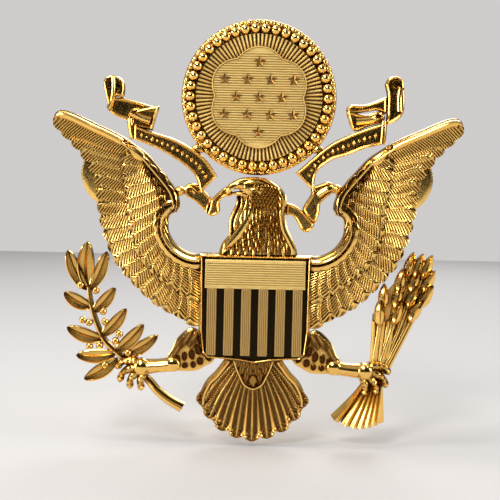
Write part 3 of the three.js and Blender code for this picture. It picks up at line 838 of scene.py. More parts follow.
def build_shield():
    satin = finish_of("satin_gold")
    relief = Relief()
    # The shield's sunk field is painted nearly black as shade.
    relief.framed(subdivided(SHIELD), 1.6, 2.35, 3.2, border=0.5, draft=0.22, shade=1.5)
    relief.settle("shield_plate", "gold_plate", "shield_plate")

    chief = Relief()
    back, chief_front, bar_front, half = 2.3, 2.9, 2.95, 0.78
    chief.add(*plate([(-7.85, 1.75), (7.85, 1.75), (7.85, 6.45), (-7.85, 6.45)],
                     back, chief_front, 0.1, 0.06))
    for x in BAR_CENTRES:
        chief.add(*plate([(x - half, -8.7), (x + half, -8.7), (x + half, 1.9), (x - half, 1.9)],
                         back, bar_front, 0.1, 0.06), BAR_SHADE)
    chief.settle("shield_chief_and_bars", "satin_gold", "shield_chief_and_bars")

    lines = bpy.context.scene.badge_lines
    points, reach, turn = [], [], []
    pitch = lines.pitch / MM
    count = int(4.3 / pitch)
    for i in range(count):
        points.append((0.0, chief_front, 4.1 + (i - (count - 1) / 2) * pitch))
        reach.append(7.6 * MM)
        turn.append(0.0)
    for x in BAR_CENTRES:
        for k in range(5):
            points.append((x + (k - 2) * 0.3, bar_front, -3.4))
            reach.append(5.1 * MM)
            turn.append(math.pi / 2)
    engraved = grown("shield_lines", "ridges", marked_points(points, reach=reach, turn=turn), satin,
                     Width=pitch * 0.8 * MM, Height=0.00016)
    # The bars' lines get the bars' painted shade.
    paint_shade(engraved, lambda spot: BAR_SHADE if spot.z < 1.7 * MM else 0.0)
    settle(engraved)


def feather_rows(edge, roots, count, half_width, level, tip_level, tilt, bow=0.25):
    """A tier of feathers from a line of roots to a line of tips."""
    vanes = Vanes()
    tips, feet = smooth(edge), smooth(roots)
    for i in range(count):
        share = (i + 0.5) / count
        tip, foot = point_at(tips, share), point_at(feet, share)
        dx, dz = tip[0] - foot[0], tip[1] - foot[1]
        size = math.hypot(dx, dz)
        tip = (tip[0] + dx / size * 0.25, tip[1] + dz / size * 0.25)
        middle = ((foot[0] + tip[0]) / 2 - dz / size * bow, (foot[1] + tip[1]) / 2 + dx / size * bow)
        vanes.add(smooth([foot, middle, tip]), half_width, level, tip_level, tilt, floor=0.3)
    return vanes


def build_wing(side):
    sizes = bpy.context.scene.badge_feathers
    turn = mirrored if side == "right" else list
    inward = -1 if side == "left" else 1
    name = f"{side}_wing"
    lead, shoulder, inner = smooth(LEADING_EDGE), smooth(SHOULDER), smooth(INNER_RIM)

    def carried(path, section, **sizes):
        """A section along an edge of this wing; it is drawn as if the edge lay to its left."""
        return moulding(turn(path), [(inset * inward, depth) for inset, depth in section], **sizes)

    relief = Relief()
    base = [*lead[:-1], *shoulder, *inner, *offset(smooth(OUTER_EDGE), -0.3), (-31.7, 27.2)]
    relief.add(*plate(turn(base), 0.0, 1.3, 0.12))
    widths = [min(1.0, 0.35 + 0.65 * (4 * i / len(lead)) ** 0.5) for i in range(len(lead))]
    relief.add(*carried(lead, [(0, 0.15), (0.35, 1.9), (0.55, 2.35), (0.8, 2.5), (1.1, 2.4), (1.35, 2.1),
                               (1.42, 1.9), (1.42, 0.15)], widths=widths))
    # From the hole outwards: a leaning wall, a bright rim, a groove, and a narrow scalloped band.
    relief.add(*carried([*shoulder, *inner], [(0, 0.3), (0.72, 2.35), (0.8, 2.6), (0.95, 2.68), (1.1, 2.6),
                                              (1.16, 2.2), (1.16, 0.3)]))
    scallops = offset(resampled(inner, 90), -1.45)
    waves = [1.0 + 0.35 * abs(math.sin(math.pi * 9 * i / 89)) for i in range(90)]
    relief.add(*carried(scallops, [(0, 0.45), (0, 2.3), (0.12, 2.48), (0.4, 2.45), (0.58, 2.3),
                                   (0.62, 2.0), (0.62, 0.45)], widths=waves))
    patch = smooth([(-20.6, 23.9), (-19.0, 23.5), (-17.5, 22.2), (-17.7, 21.2), (-19.2, 21.7)], 3)
    relief.add(*dome(turn(patch), turn([(-18.9, 22.5)])[0], 0.5, 2.1, 2.55))
    relief.settle(f"{name}_plate", "gold_plate", name)

    outer = feather_rows(OUTER_EDGE, OUTER_ROOTS, sizes.outer, 1.3, 1.5, 1.35, -0.24)
    outer.add(smooth(LEADING_FEATHER), 1.5, 1.75, 1.8, -0.2, floor=0.25,
              shape=lambda t: feather_width(t, 0.5, 0.86), count=40)
    middle = feather_rows(MIDDLE_EDGE, MIDDLE_ROOTS, sizes.middle, 1.12, 1.95, 1.75, -0.22)
    lance = Vanes()
    for foot, tip, half in SCAPULARS:
        lance.add(smooth([foot, tip]), half, 2.1, floor=0.5, shape=leaf_width)
    if side == "right":
        outer, middle, lance = outer.mirrored(), middle.mirrored(), lance.mirrored()
    barbed = {"Barb_pitch": sizes.barb_pitch, "Barb_depth": sizes.barb_depth, "Barb_lean": 0.8,
              "Shaft": 0.00022, "Shaft_place": 0.5 * inward}
    outer.settle(f"{name}_outer_feathers", **barbed)
    middle.settle(f"{name}_middle_feathers", **barbed)
    lance.settle(f"{name}_scapulars", Barb_pitch=0.0008, Border=0.0004, Barb_lean=0.1, Hollow_shade=1.0)


TAIL_TIPS = [(0, -22.6), (2.5, -22.1), (4.9, -21.0), (6.9, -19.1), (8.2, -17.0)]
TAIL_FEET = [(0, -12.5), (1.0, -12.2), (1.9, -11.7), (2.6, -11.0), (3.2, -10.2)]


def build_tail():
    sizes = bpy.context.scene.badge_feathers
    side = smooth([(-4.4, -9.4), (-6.0, -11.6), (-7.4, -13.1), (-8.4, -15.3), (-8.5, -16.8)])
    edge = smooth([(-8.5, -16.8), (-7.4, -18.5), (-5.6, -20.3), (-2.9, -21.5), (0, -21.9)])
    whole = [*side, *edge[1:], *mirrored(edge[:-1])[::-1], *mirrored(side[:-1])[::-1]]
    relief = Relief()
    relief.add(*plate(whole, 0.0, 1.0, 0.2))
    for way in (1, -1):
        line = side if way == 1 else mirrored(side)
        relief.add(*moulding(line, [(0, 0.3), (0.45 * way, 1.5), (0.6 * way, 1.75), (0.85 * way, 1.7),
                                    (0.95 * way, 1.3), (0.95 * way, 0.3)]))
    relief.settle("tail_plate", "gold_plate", "tail")

    vanes = Vanes()
    for i in range(len(TAIL_TIPS) - 1, -1, -1):
        (x, z), (foot_x, foot_z) = TAIL_TIPS[i], TAIL_FEET[i]
        level = 1.5 - 0.06 * i
        middle = ((foot_x + x) / 2 + 0.09 * i, (foot_z + z) / 2)
        line = smooth([(foot_x, foot_z), middle, (x, z)])
        for path in ((line,) if i == 0 else (line, mirrored(line))):
            tilt = 0.06 if path[-1][0] < 0 else -0.06
            vanes.add(path, 1.3, level, level - 0.1, tilt, 0.2 + 0.04 * i,
                      shape=lambda t: feather_width(t, 0.4, 0.88), count=40)
    vanes.settle("tail_feathers", Barb_pitch=sizes.barb_pitch, Barb_depth=sizes.barb_depth * 0.5,
                 Barb_lean=1.0, Shaft=0.00012, Border=0.00026, Hollow_shade=0.9)

    # Small feathers lie over the roots of the tail, inside a raised rim shaped like a U.
    scales = Vanes()
    for row, (z, wide) in enumerate(((-12.3, 1.1), (-11.2, 1.9), (-10.1, 2.5), (-9.2, 2.9))):
        for i in range(row + 3):
            x = wide * (2 * i / (row + 2) - 1)
            drop = 0.35 * abs(x) / wide
            scales.add([(x * 0.9, z + 0.9 + drop), (x, z - 0.9 + drop)], 0.42, 1.85 + 0.1 * row, floor=0.6,
                       shape=lambda t: feather_width(t, 0.7, 0.6))
    scales.settle("tail_coverts", Barb_pitch=0.0006, Border=0.0002, Shaft=0.0001, Barb_lean=0.15,
                  Hollow_shade=0.9)
    rim = Relief()
    cup = [(-3.4, -9.3), (-3.0, -10.6), (-2.3, -12.2), (-1.5, -13.6), (0.0, -14.3)]
    rim.add(*moulding(smooth([*cup, *mirrored(cup[:-1])[::-1]]),
                      [(0, 0.6), (0.03, 1.9), (0.14, 2.2), (0.32, 2.2), (0.45, 1.95), (0.45, 0.6)]))
    rim.framed(oval((0.0, -12.75), 0.72, 0.95), 0.6, 2.1, 2.5, border=0.2, draft=0.08, shade=0.8)
    rim.settle("tail_covert_rim", "gold_plate")


NECK_LEFT = [(-5.8, 7.2), (-5.3, 8.8), (-4.2, 10.3), (-4.1, 12.4), (-3.7, 13.5), (-2.9, 15.0), (-3.1, 16.2)]
NECK_RIGHT = [(6.5, 7.2), (6.3, 8.4), (5.5, 10.0), (4.8, 11.6), (4.5, 13.6), (4.7, 15.2), (4.5, 16.6)]
# The locks of the throat, with their half widths and levels.
THROAT = [([(-3.2, 16.2), (-3.0, 15.2), (-3.6, 13.6), (-4.0, 12.2), (-4.0, 9.6)], 0.3, 2.0),
          ([(-2.4, 16.2), (-2.3, 14.8), (-2.9, 13.2), (-3.3, 11.6), (-3.1, 10.2)], 0.42, 2.1),
          ([(-1.5, 16.1), (-1.7, 14.6), (-2.3, 13.0), (-2.6, 11.4)], 0.38, 2.2),
          ([(-0.8, 15.6), (-0.9, 13.6), (-1.9, 11.6), (-3.2, 9.8), (-4.9, 8.0)], 0.7, 2.6),
          ([(0.1, 15.9), (0.1, 14.0), (-0.5, 12.2), (-1.3, 10.4)], 0.36, 2.5),
          ([(-3.0, 9.9), (-4.0, 8.8), (-4.9, 7.4)], 0.45, 2.2),
          ([(-2.0, 10.1), (-2.6, 8.8), (-3.0, 7.4)], 0.42, 2.35)]


def build_head():
    relief = Relief()
    left, right = resampled(smooth(NECK_LEFT), 30), resampled(smooth(NECK_RIGHT), 30)

    def swell(share):
        return 1.6 + 1.0 * math.sin(math.pi * min(max(share, 0.0), 1.0)) ** 0.6

    relief.add(*strip(left, right, [(k / 16, 0.0, swell(k / 16)) for k in range(17)]))
    skull = smooth([(-2.2, 16.6), (-3.0, 17.6), (-2.9, 18.7), (-1.2, 19.1), (0.6, 19.1), (2.0, 18.7),
                    (3.2, 18.0), (4.0, 17.2), (4.5, 16.2), (4.5, 14.8), (3.0, 14.6), (0.8, 15.3),
                    (-0.8, 16.0)], 4)
    relief.add(*dome(skull, (1.2, 17.0), 0.1, 2.3, 3.0))
    crest = smooth([(-4.3, 18.15), (-2.9, 18.95), (-1.2, 19.25), (0.6, 19.25), (2.0, 18.85), (3.2, 18.15),
                    (4.0, 17.35), (4.55, 16.3), (4.65, 15.1), (4.45, 13.6), (4.75, 11.5), (5.5, 10.0),
                    (6.3, 8.4), (6.4, 7.3)])
    widths = [0.55 + 0.6 * min(1.0, 1.6 * i / len(crest)) for i in range(len(crest))]
    depths = [1.0 - 0.24 * max(0.0, i / len(crest) - 0.3) for i in range(len(crest))]
    relief.add(*moulding(crest, [(0, 0.2), (-0.12, 2.5), (-0.28, 2.95), (-0.5, 3.05), (-0.75, 2.95),
                                 (-0.9, 2.6), (-0.9, 0.2)], widths=widths, depths=depths))
    beak = smooth([(-1.6, 18.7), (-3.0, 18.85), (-4.2, 18.2), (-4.9, 17.4), (-5.05, 16.8), (-4.7, 16.3),
                   (-4.3, 16.9), (-3.6, 17.3), (-2.6, 17.3), (-1.5, 17.3)], 4)
    relief.add(*dome(beak, (-3.0, 18.0), 0.3, 2.3, 3.35))
    jaw = smooth([(-0.9, 16.5), (-1.6, 16.95), (-2.8, 17.0), (-4.0, 16.75), (-3.5, 16.3), (-2.4, 16.2),
                  (-1.4, 15.8)], 4)
    relief.add(*dome(jaw, (-2.3, 16.6), 0.4, 2.2, 2.8))
    brow = smooth([(-2.3, 18.2), (-1.4, 18.75), (0.2, 18.7), (1.2, 18.2), (0.2, 18.3), (-1.2, 18.2)], 3)
    relief.add(*dome(brow, (-0.4, 18.45), 2.6, 3.1, 3.5))
    cheek = smooth([(-1.4, 17.4), (-0.4, 17.2), (0.6, 16.4), (1.0, 17.2), (0.4, 17.6), (-0.8, 17.65)], 3)
    relief.add(*dome(cheek, (0.1, 17.2), 2.5, 2.95, 3.25))
    eye, nostril = (-0.15, 17.9), (-2.75, 17.95)
    relief.add(*turned([(0.0, -2.6), (0.46, -2.6), (0.46, -3.1), (0.36, -3.26), (0.27, -3.2),
                        (0.22, -3.05), (0.0, -3.05)], eye, 28))
    relief.add(*turned([(0.0, -2.9), (0.19, -2.9), (0.19, -3.16), (0.1, -3.27), (0.0, -3.28)], eye, 24))
    relief.add(*turned([(0.0, -2.9), (0.22, -2.9), (0.2, -3.3), (0.12, -3.28), (0.08, -3.12),
                        (0.0, -3.12)], nostril, 20))
    relief.settle("head_and_neck", "gold_plate", "head_and_neck", sharp=45)

    # Long smooth locks fall from the jaw down the throat.
    locks = Vanes()
    for line, half, level in THROAT:
        locks.add(smooth(line), half, level, floor=0.8, shape=lambda t: leaf_width(t, 0.6, 0.45), count=40)
    locks.settle("throat_locks", Barb_pitch=0.0008, Barb_lean=0.1, Crown=0.00035)

    scales = Vanes()
    rows, columns = 13, 9
    for row in range(rows):
        for i in range(columns):
            jitter = math.sin(12.9 * row + 78.2 * i)
            share = 0.99 - 0.99 * (row + 0.2 * jitter) / rows
            first = 0.34 - 0.3 * (1 - share)
            s = first + (0.9 - first) * (i + 0.5 * (row % 2) + 0.15 * jitter) / columns
            (x0, z0), (x1, z1) = point_at(left, share), point_at(right, share)
            x, z = x0 + (x1 - x0) * s, z0 + (z1 - z0) * s
            flare = (s - 0.5) * (0.9 - 0.6 * share)
            level = swell(s) + 0.12
            scales.add([(x - flare * 0.4, z + 1.05), (x + flare * 0.5, z - 1.05)], 0.35 + 0.07 * (1 - share),
                       level, level + 0.12, floor=level - 0.6, shape=leaf_width, count=12)
    # Shorter feathers cover the cheek and the back of the head.
    for row in range(7):
        for i in range(9):
            x = -0.9 + 0.52 * i + 0.26 * (row % 2)
            z = 17.9 - 0.48 * row - 0.24 * max(0.0, x - 1.4)
            near_eye = x < 0.5 and z > 17.0
            off_head = (x - 1.0) ** 2 / 12 + (z - 16.4) ** 2 / 4.6 > 1
            if near_eye or off_head:
                continue
            scales.add([(x - 0.2, z + 0.45), (x + 0.12, z - 0.45)], 0.25, 3.0, 3.1, floor=2.2,
                       shape=leaf_width, count=10)
    scales.settle("neck_feathers", Barb_pitch=0.0007, Barb_lean=0.1, Crown=0.00016, Shaft=0.00014,
                  Border=0.0001)


THIGH = [(-8.6, -5.2), (-10.0, -4.7), (-12.0, -6.3), (-12.9, -8.2), (-13.6, -9.6), (-12.6, -11.3),
         (-9.4, -11.5), (-7.6, -10.7), (-6.2, -9.6), (-7.9, -7.8)]
TOES = [[(-17.0, -10.4), (-19.2, -10.0), (-20.8, -10.4), (-21.5, -11.4)],
        [(-17.2, -10.8), (-19.2, -11.2), (-20.6, -12.1), (-21.0, -13.5)],
        [(-17.2, -11.2), (-18.6, -12.1), (-19.4, -13.2), (-19.3, -14.5)],
        [(-16.8, -11.4), (-17.4, -12.4), (-17.8, -13.4), (-17.5, -14.7)]]
THIGH_CELLS = [((-8.0, -7.4), (-7.3, -9.0), 0.55), ((-9.0, -7.2), (-8.5, -8.9), 0.5),
               ((-7.6, -9.1), (-6.6, -9.8), 0.35), ((-8.6, -9.2), (-8.1, -10.5), 0.6),
               ((-9.9, -8.0), (-9.5, -9.7), 0.55), ((-9.6, -9.9), (-9.3, -11.0), 0.5),
               ((-10.9, -8.3), (-10.8, -9.9), 0.5), ((-10.8, -10.1), (-10.7, -11.1), 0.55),
               ((-11.9, -8.9), (-11.9, -10.6), 0.5), ((-8.5, -5.6), (-8.3, -7.2), 0.45)]
THIGH_FEATHERS = [((-8.9, -5.2), (-10.3, -7.6), 0.5), ((-9.8, -5.1), (-11.7, -8.0), 0.5),
                  ((-10.9, -5.9), (-12.8, -9.4), 0.45), ((-9.2, -6.3), (-9.9, -8.0), 0.4)]


def build_leg(side):
    turn = mirrored if side == "right" else list
    relief = Relief()
    thigh, centre = smooth([*THIGH, THIGH[0]], 4)[:-1], (-10.4, -8.4)
    relief.add(*dome(turn(thigh), turn([centre])[0], 0.1, 1.4, 1.8))
    for (x0, z0), (x1, z1), half in THIGH_CELLS:
        long = math.hypot(x1 - x0, z1 - z0)
        ux, uz = (x1 - x0) / long, (z1 - z0) / long
        cell = []
        for k in range(18):
            along, aside = 0.52 * long * math.cos(math.pi * k / 9), half * math.sin(math.pi * k / 9)
            cell.append(((x0 + x1) / 2 + ux * along - uz * aside, (z0 + z1) / 2 + uz * along + ux * aside))
        relief.framed(turn(cell), 0.6, 1.8, 2.15, border=0.17, draft=0.05, shade=1.2)
    cuff, knuckle = (-12.7, -10.45), (-17.6, -11.0)
    relief.add(*dome(turn(oval(cuff, 1.35, 1.25)), turn([cuff])[0], 0.35, 1.6, 2.5))
    top = smooth([(-12.6, -9.3), (-14.6, -9.8), (-17.6, -9.9)])
    low = smooth([(-12.4, -11.6), (-14.6, -11.8), (-17.2, -12.2)])
    bulge = [(k / 10, 0.0, 1.5 + 0.9 * math.sin(math.pi * k / 10) ** 0.7) for k in range(11)]
    relief.add(*strip(turn(top), turn(low), bulge, back=0.2))
    relief.add(*dome(turn(oval(knuckle, 1.35, 1.35)), turn([knuckle])[0], 0.3, 1.8, 2.75))
    relief.settle(f"{side}_leg", "gold_plate", f"{side}_leg")

    toes = Vanes()
    for i, line in enumerate(TOES):
        toes.add(smooth(turn(line)), 0.62, 1.9, 1.6, floor=0.45 + 0.08 * i,
                 shape=lambda t: feather_width(t, 1.0, 0.85) * (0.9 - 0.14 * math.sin(11 * t)))
    toes.settle(f"{side}_toes", Barb_pitch=0.0007, Barb_lean=0.0, Crown=0.0006, Barb_depth=0.00008)

    cells = Vanes()
    for foot, tip, half in THIGH_FEATHERS:
        cells.add(turn([foot, tip]), half, 2.0, 1.9, floor=0.6, shape=lambda t: leaf_width(t, 0.5, 0.5))
    cells.settle(f"{side}_thigh_scales", Barb_pitch=0.0006, Border=0.0004, Barb_lean=0.1, Hollow_shade=1.0)


STEM = [(-11.1, -17.5), (-13.3, -16.3), (-15.2, -14.8), (-16.6, -13.2), (-18.4, -11.7), (-21.1, -9.3),
        (-23.6, -7.0), (-25.1, -3.7), (-25.9, -0.7), (-26.2, 1.8)]
# Leaves from foot to tip, with their half widths.
LEAVES = [((-26.2, 1.0), (-26.4, 8.6), 1.35), ((-26.5, 0.9), (-29.5, 7.2), 1.1),
          ((-25.9, 0.9), (-23.4, 7.1), 1.05), ((-25.5, -2.6), (-22.0, 1.4), 1.05),
          ((-24.1, -6.4), (-20.2, -1.9), 1.05), ((-21.9, -8.8), (-17.4, -4.3), 1.1),
          ((-20.6, -9.4), (-15.1, -6.0), 1.0), ((-25.6, -1.9), (-30.0, 0.5), 1.1),
          ((-23.8, -6.9), (-29.5, -5.0), 1.15), ((-21.6, -9.0), (-28.0, -9.4), 1.15),
          ((-21.4, -9.8), (-26.7, -13.2), 1.15)]
BERRIES = [(-25.0, 0.9), (-23.8, -2.4), (-23.5, -4.0), (-21.2, -5.9), (-21.8, -7.0), (-19.8, -8.9),
           (-27.4, 1.7), (-27.0, -3.8), (-26.0, -4.2), (-25.9, -8.0), (-24.3, -7.8), (-23.4, -10.9)]


def build_branch():
    polished = finish_of("gold_plate")
    relief = Relief()
    stem = smooth(STEM)
    taper = [0.85 - 0.5 * (i / len(stem)) ** 0.7 for i in range(len(stem))]
    section = [(-1, 0), (-1, 0.8), (-0.7, 1.2), (-0.2, 1.32), (0.0, 1.2), (0.2, 1.32), (0.7, 1.2), (1, 0.8),
               (1, 0)]
    relief.add(*moulding(stem, section, widths=taper))
    relief.settle("olive_stem", "gold_plate", "olive_branch")

    leaves = Vanes()
    for i, (foot, tip, half) in enumerate(LEAVES):
        dx, dz = tip[0] - foot[0], tip[1] - foot[1]
        bow = 0.05 if foot[0] > tip[0] else -0.05
        middle = ((foot[0] + tip[0]) / 2 - dz * bow, (foot[1] + tip[1]) / 2 + dx * bow)
        leaves.add(smooth([foot, middle, tip]), half, 1.05, 1.2, floor=0.1 + 0.05 * i,
                   shape=lambda t: leaf_width(t, 0.5, 0.6))
    leaves.settle("olive_leaves", Barb_pitch=0.0007, Border=0.00035, Barb_lean=0.0, Crown=-0.0001,
                  Shaft=0.00035, Hollow_shade=0.3)

    size = [0.6 * MM] * len(BERRIES)
    berries = grown("olive_berries", "domes", marked_points([(x, 1.0, z) for x, z in BERRIES], size=size),
                    polished, Flatness=1.05, Dimple=0.35)
    settle(berries)


# Rows of arrowheads: how many, the middles of the first and the last, and their level.
ARROW_ROWS = [(3, (24.3, 6.0), (27.0, 5.7), 1.35), (3, (22.9, 3.5), (27.3, 3.4), 1.35),
              (4, (20.3, 0.9), (27.0, 1.0), 1.45), (3, (19.7, -1.7), (25.4, -1.2), 1.55)]


def build_arrows():
    waist = (19.7, -11.4)
    shafts, heads = Vanes(), Vanes()
    for count, start, stop, level in ARROW_ROWS:
        for i in range(count):
            t = i / (count - 1)
            centre = (start[0] + (stop[0] - start[0]) * t, start[1] + (stop[1] - start[1]) * t)
            dx, dz = centre[0] - waist[0], centre[1] - waist[1]
            size = math.hypot(dx, dz)
            foot = (centre[0] - dx / size * 2.2, centre[1] - dz / size * 2.2)
            tip = (centre[0] + dx / size * 2.1, centre[1] + dz / size * 2.1)
            heads.add([foot, tip], 0.86, level - 0.2, floor=0.35, shape=lambda s: leaf_width(s, 0.4))
            gathered = (waist[0] + (centre[0] - 23) * 0.3, waist[1])
            shafts.add([gathered, foot], 0.3, level - 0.35, floor=0.3, shape=even_width)
    for i in range(5):
        shafts.add([(18.7 + i * 0.55, -11.0), (18.9 + i * 0.75, -3.0)], 0.3, 1.1, floor=0.3, shape=even_width)
    backing = [(18.2, -11.6), (18.6, -8.3), (18.7, -2.1), (20.2, 0.8), (22.6, 3.8), (24.0, 6.2),
               (26.4, 6.4), (27.2, 4.2), (26.6, 0.2), (25.2, -3.2), (21.9, -7.8), (20.9, -11.6)]
    relief = Relief()
    relief.add(*plate(backing, 0.0, 0.7, 0.1))
    relief.settle("arrow_backing", "gold_plate", "arrow_bundle")
    shafts.settle("arrow_shafts", Barb_pitch=0.002, Barb_lean=0.0, Crown=0.0002)
    heads.settle("arrow_heads", sharp=15, Barb_pitch=0.0007, Barb_lean=0.05, Crown=0.0006, Shaft=0.0002)
    pleats = Vanes()
    count = 7
    for i in range(count):
        t = (i / (count - 1)) ** 0.8
        tip = (13.1 + 7.0 * t, -18.3 - 1.7 * math.sin(math.pi * min(1.0, 0.1 + 0.75 * t)))
        pleats.add(smooth([(18.4 + 1.8 * t, -11.6), (16.3 + 3.9 * t, -15.0), tip]), 0.78, 1.1, 1.1, 0.1,
                   floor=0.1 + 0.05 * i, shape=pleat_width)
    pleats.settle("arrow_fletching", Barb_pitch=0.0008, Barb_lean=-0.15, Crown=0.0005, Shaft=0.0001)


# Each half of the ribbon: the two edges of its band, its folds with their depths, its rolls with their
# half widths and depths, and the mouths of its rolls, painted nearly black as shade, with their half
# widths, half heights and depths.
RIBBONS = {
    "left": {
        "top": [(-19.4, 27.0), (-17.2, 26.2), (-14.8, 25.5), (-12.9, 24.9), (-10.9, 23.9), (-9.0, 22.7),
                (-7.6, 21.3), (-6.2, 19.2)],
        "low": [(-19.4, 24.7), (-17.7, 24.1), (-15.3, 23.1), (-13.5, 22.1), (-11.9, 21.1), (-10.4, 19.9),
                (-9.5, 18.6), (-8.9, 16.4)],
        "folds": [
            ([(-16.3, 29.9), (-22.3, 31.2), (-23.2, 28.9), (-20.1, 27.6), (-19.3, 29.0),
              (-16.0, 28.8)], 1.35),
            ([(-24.3, 33.4), (-23.9, 34.3), (-22.8, 34.6), (-21.6, 34.2), (-20.9, 33.1), (-21.1, 31.2),
              (-22.4, 31.2), (-23.2, 28.9), (-23.7, 30.5), (-24.1, 32.2)], 1.7),
            ([(-16.5, 26.1), (-16.0, 28.0), (-15.5, 29.9), (-16.4, 29.9), (-18.2, 29.5), (-19.5, 28.9),
              (-19.6, 26.9)], 1.55),
            ([(-11.5, 16.9), (-11.1, 17.8), (-10.3, 18.1), (-9.3, 17.9), (-8.4, 17.2), (-7.0, 15.6),
              (-7.4, 14.5), (-7.7, 13.4), (-8.5, 14.1), (-9.7, 15.2), (-10.9, 15.9)], 1.9),
            ([(-7.2, 15.6), (-6.0, 16.8), (-4.8, 17.7), (-3.9, 17.0), (-4.1, 16.1), (-5.0, 16.0),
              (-5.7, 15.3), (-5.8, 14.6), (-5.7, 13.8), (-6.2, 13.2), (-7.0, 12.9), (-7.7, 13.3),
              (-7.4, 14.5)], 2.15),
        ],
        "rolls": [
            ([(-20.0, 27.9), (-19.8, 26.3), (-19.4, 24.7)], 0.45, 1.9),
            ([(-20.0, 28.9), (-19.0, 28.4), (-18.2, 28.0), (-16.8, 27.6)], 0.62, 1.9),
            ([(-22.7, 34.3), (-22.6, 32.6), (-22.8, 30.8), (-23.3, 29.4)], 0.42, 2.0),
            ([(-11.3, 17.0), (-10.4, 17.3), (-9.6, 16.6)], 0.5, 2.1),
        ],
        "mouths": [
            ((-23.4, 33.2), 0.4, 0.65, 1.75),
            ((-21.9, 32.9), 0.45, 0.85, 1.75),
            ((-19.3, 28.9), 0.5, 0.4, 2.2),
            ((-10.5, 17.1), 0.5, 0.4, 2.3),
        ],
    },
    "right": {
        "top": [(19.6, 28.2), (17.3, 27.4), (14.9, 26.5), (13.6, 25.9), (11.8, 25.0), (10.0, 23.7),
                (8.3, 22.2), (5.9, 20.0)],
        "low": [(19.4, 24.7), (16.7, 24.0), (14.1, 22.9), (11.9, 22.2), (10.5, 21.3), (9.4, 20.3),
                (9.0, 18.9), (9.0, 16.9)],
        "folds": [
            ([(19.9, 32.2), (16.7, 30.9), (14.4, 30.8), (13.6, 30.0), (14.6, 29.4), (16.8, 29.7),
              (18.4, 30.0), (19.9, 29.5)], 1.35),
            ([(19.5, 34.0), (20.0, 35.0), (21.0, 35.4), (22.0, 35.1), (22.5, 34.1), (22.5, 29.5),
              (20.0, 27.8), (19.9, 29.4), (19.9, 32.2)], 1.7),
            ([(13.6, 30.0), (14.0, 28.4), (14.9, 26.7), (17.3, 27.5), (19.3, 28.2), (19.7, 29.2),
              (18.6, 29.9), (16.8, 29.3), (14.8, 29.6)], 1.55),
            ([(8.7, 18.0), (9.6, 18.3), (11.2, 18.8), (12.1, 18.2), (12.3, 17.4), (11.5, 16.7),
              (10.1, 15.4), (9.9, 14.1), (9.6, 12.9), (9.0, 12.2), (7.2, 14.2), (8.4, 16.7)], 2.1),
            ([(4.6, 15.4), (5.8, 15.1), (7.2, 14.2), (8.2, 13.2), (9.1, 12.1), (8.6, 11.1), (7.8, 10.7),
              (7.0, 11.1), (6.3, 12.3), (5.6, 13.3), (4.6, 13.5)], 1.9),
        ],
        "rolls": [
            ([(19.5, 28.4), (19.5, 26.5), (19.3, 24.8)], 0.45, 1.9),
            ([(19.2, 29.2), (17.6, 28.5), (15.2, 28.2)], 0.6, 1.9),
            ([(22.0, 33.6), (21.8, 32.0), (21.9, 29.9)], 0.5, 1.95),
            ([(11.8, 17.9), (10.6, 17.4), (9.5, 16.6)], 0.6, 2.3),
        ],
        "mouths": [
            ((21.2, 34.1), 0.6, 0.7, 1.75),
            ((18.6, 29.1), 0.6, 0.4, 2.2),
            ((11.3, 17.8), 0.5, 0.4, 2.6),
        ],
    },
}


def build_ribbon(side):
    polished = finish_of("gold_plate")
    ribbon = RIBBONS[side]
    relief = Relief()
    top, low = resampled(smooth(ribbon["top"]), 60), resampled(smooth(ribbon["low"]), 60)
    # The band is lightly darkened with painted shade; the folds are not, and the mouths are painted nearly
    # black.
    relief.framed([*top, *low[::-1]], 0.8, 1.75, 2.25, border=0.5, draft=0.12, shade=0.15)
    for i, (outline, depth) in enumerate(ribbon["folds"]):
        rounded = resampled(smooth([*outline, outline[0]], 5), 70)[:-1]
        relief.framed(rounded, 0.5 + 0.06 * i, depth - 0.3, depth, border=0.5, draft=0.1, shade=0.0)
    for centre, wide, high, depth in ribbon["mouths"]:
        relief.framed(oval(centre, wide, high, 20), 0.9, depth - 0.12, depth + 0.1, border=0.13, draft=0.03,
                      shade=1.4)
    relief.settle(f"{side}_ribbon", "gold_plate", f"{side}_ribbon")

    rounds = Vanes()
    for line, half, level in ribbon["rolls"]:
        rounds.add(smooth(line), half, level - 0.45, floor=0.9, shape=even_width)
    rounds.settle(f"{side}_ribbon_rolls", Barb_pitch=0.0008, Barb_lean=0.0, Crown=0.0005)

    # Plain lozenges and beads stand along the band.
    middle = [((a[0] + b[0]) / 2, (a[1] + b[1]) / 2) for a, b in zip(top, low)]
    lozenges, beads, size = Vanes(), [], []
    count = 15
    for i in range(count):
        share = 0.09 + 0.82 * i / (count - 1)
        x, z = point_at(middle, share)
        (x0, z0), (x1, z1) = point_at(top, share), point_at(low, share)
        if i % 2:
            beads.append((x, 1.75, z))
            size.append(0.26 * MM)
        else:
            reach = 0.52 / math.hypot(x1 - x0, z1 - z0)
            foot = (x + (x0 - x1) * reach, z + (z0 - z1) * reach)
            tip = (x + (x1 - x0) * reach, z + (z1 - z0) * reach)
            lozenges.add([foot, tip], 0.36, 1.75, floor=1.4, shape=lambda t: 1 - abs(2 * t - 1), count=13)
    lozenges.settle(f"{side}_ribbon_lozenges", Barb_pitch=0.0005, Barb_lean=0.0, Crown=0.0004)
    settle(grown(f"{side}_ribbon_beads", "domes", marked_points(beads, size=size), polished, Flatness=1.2))


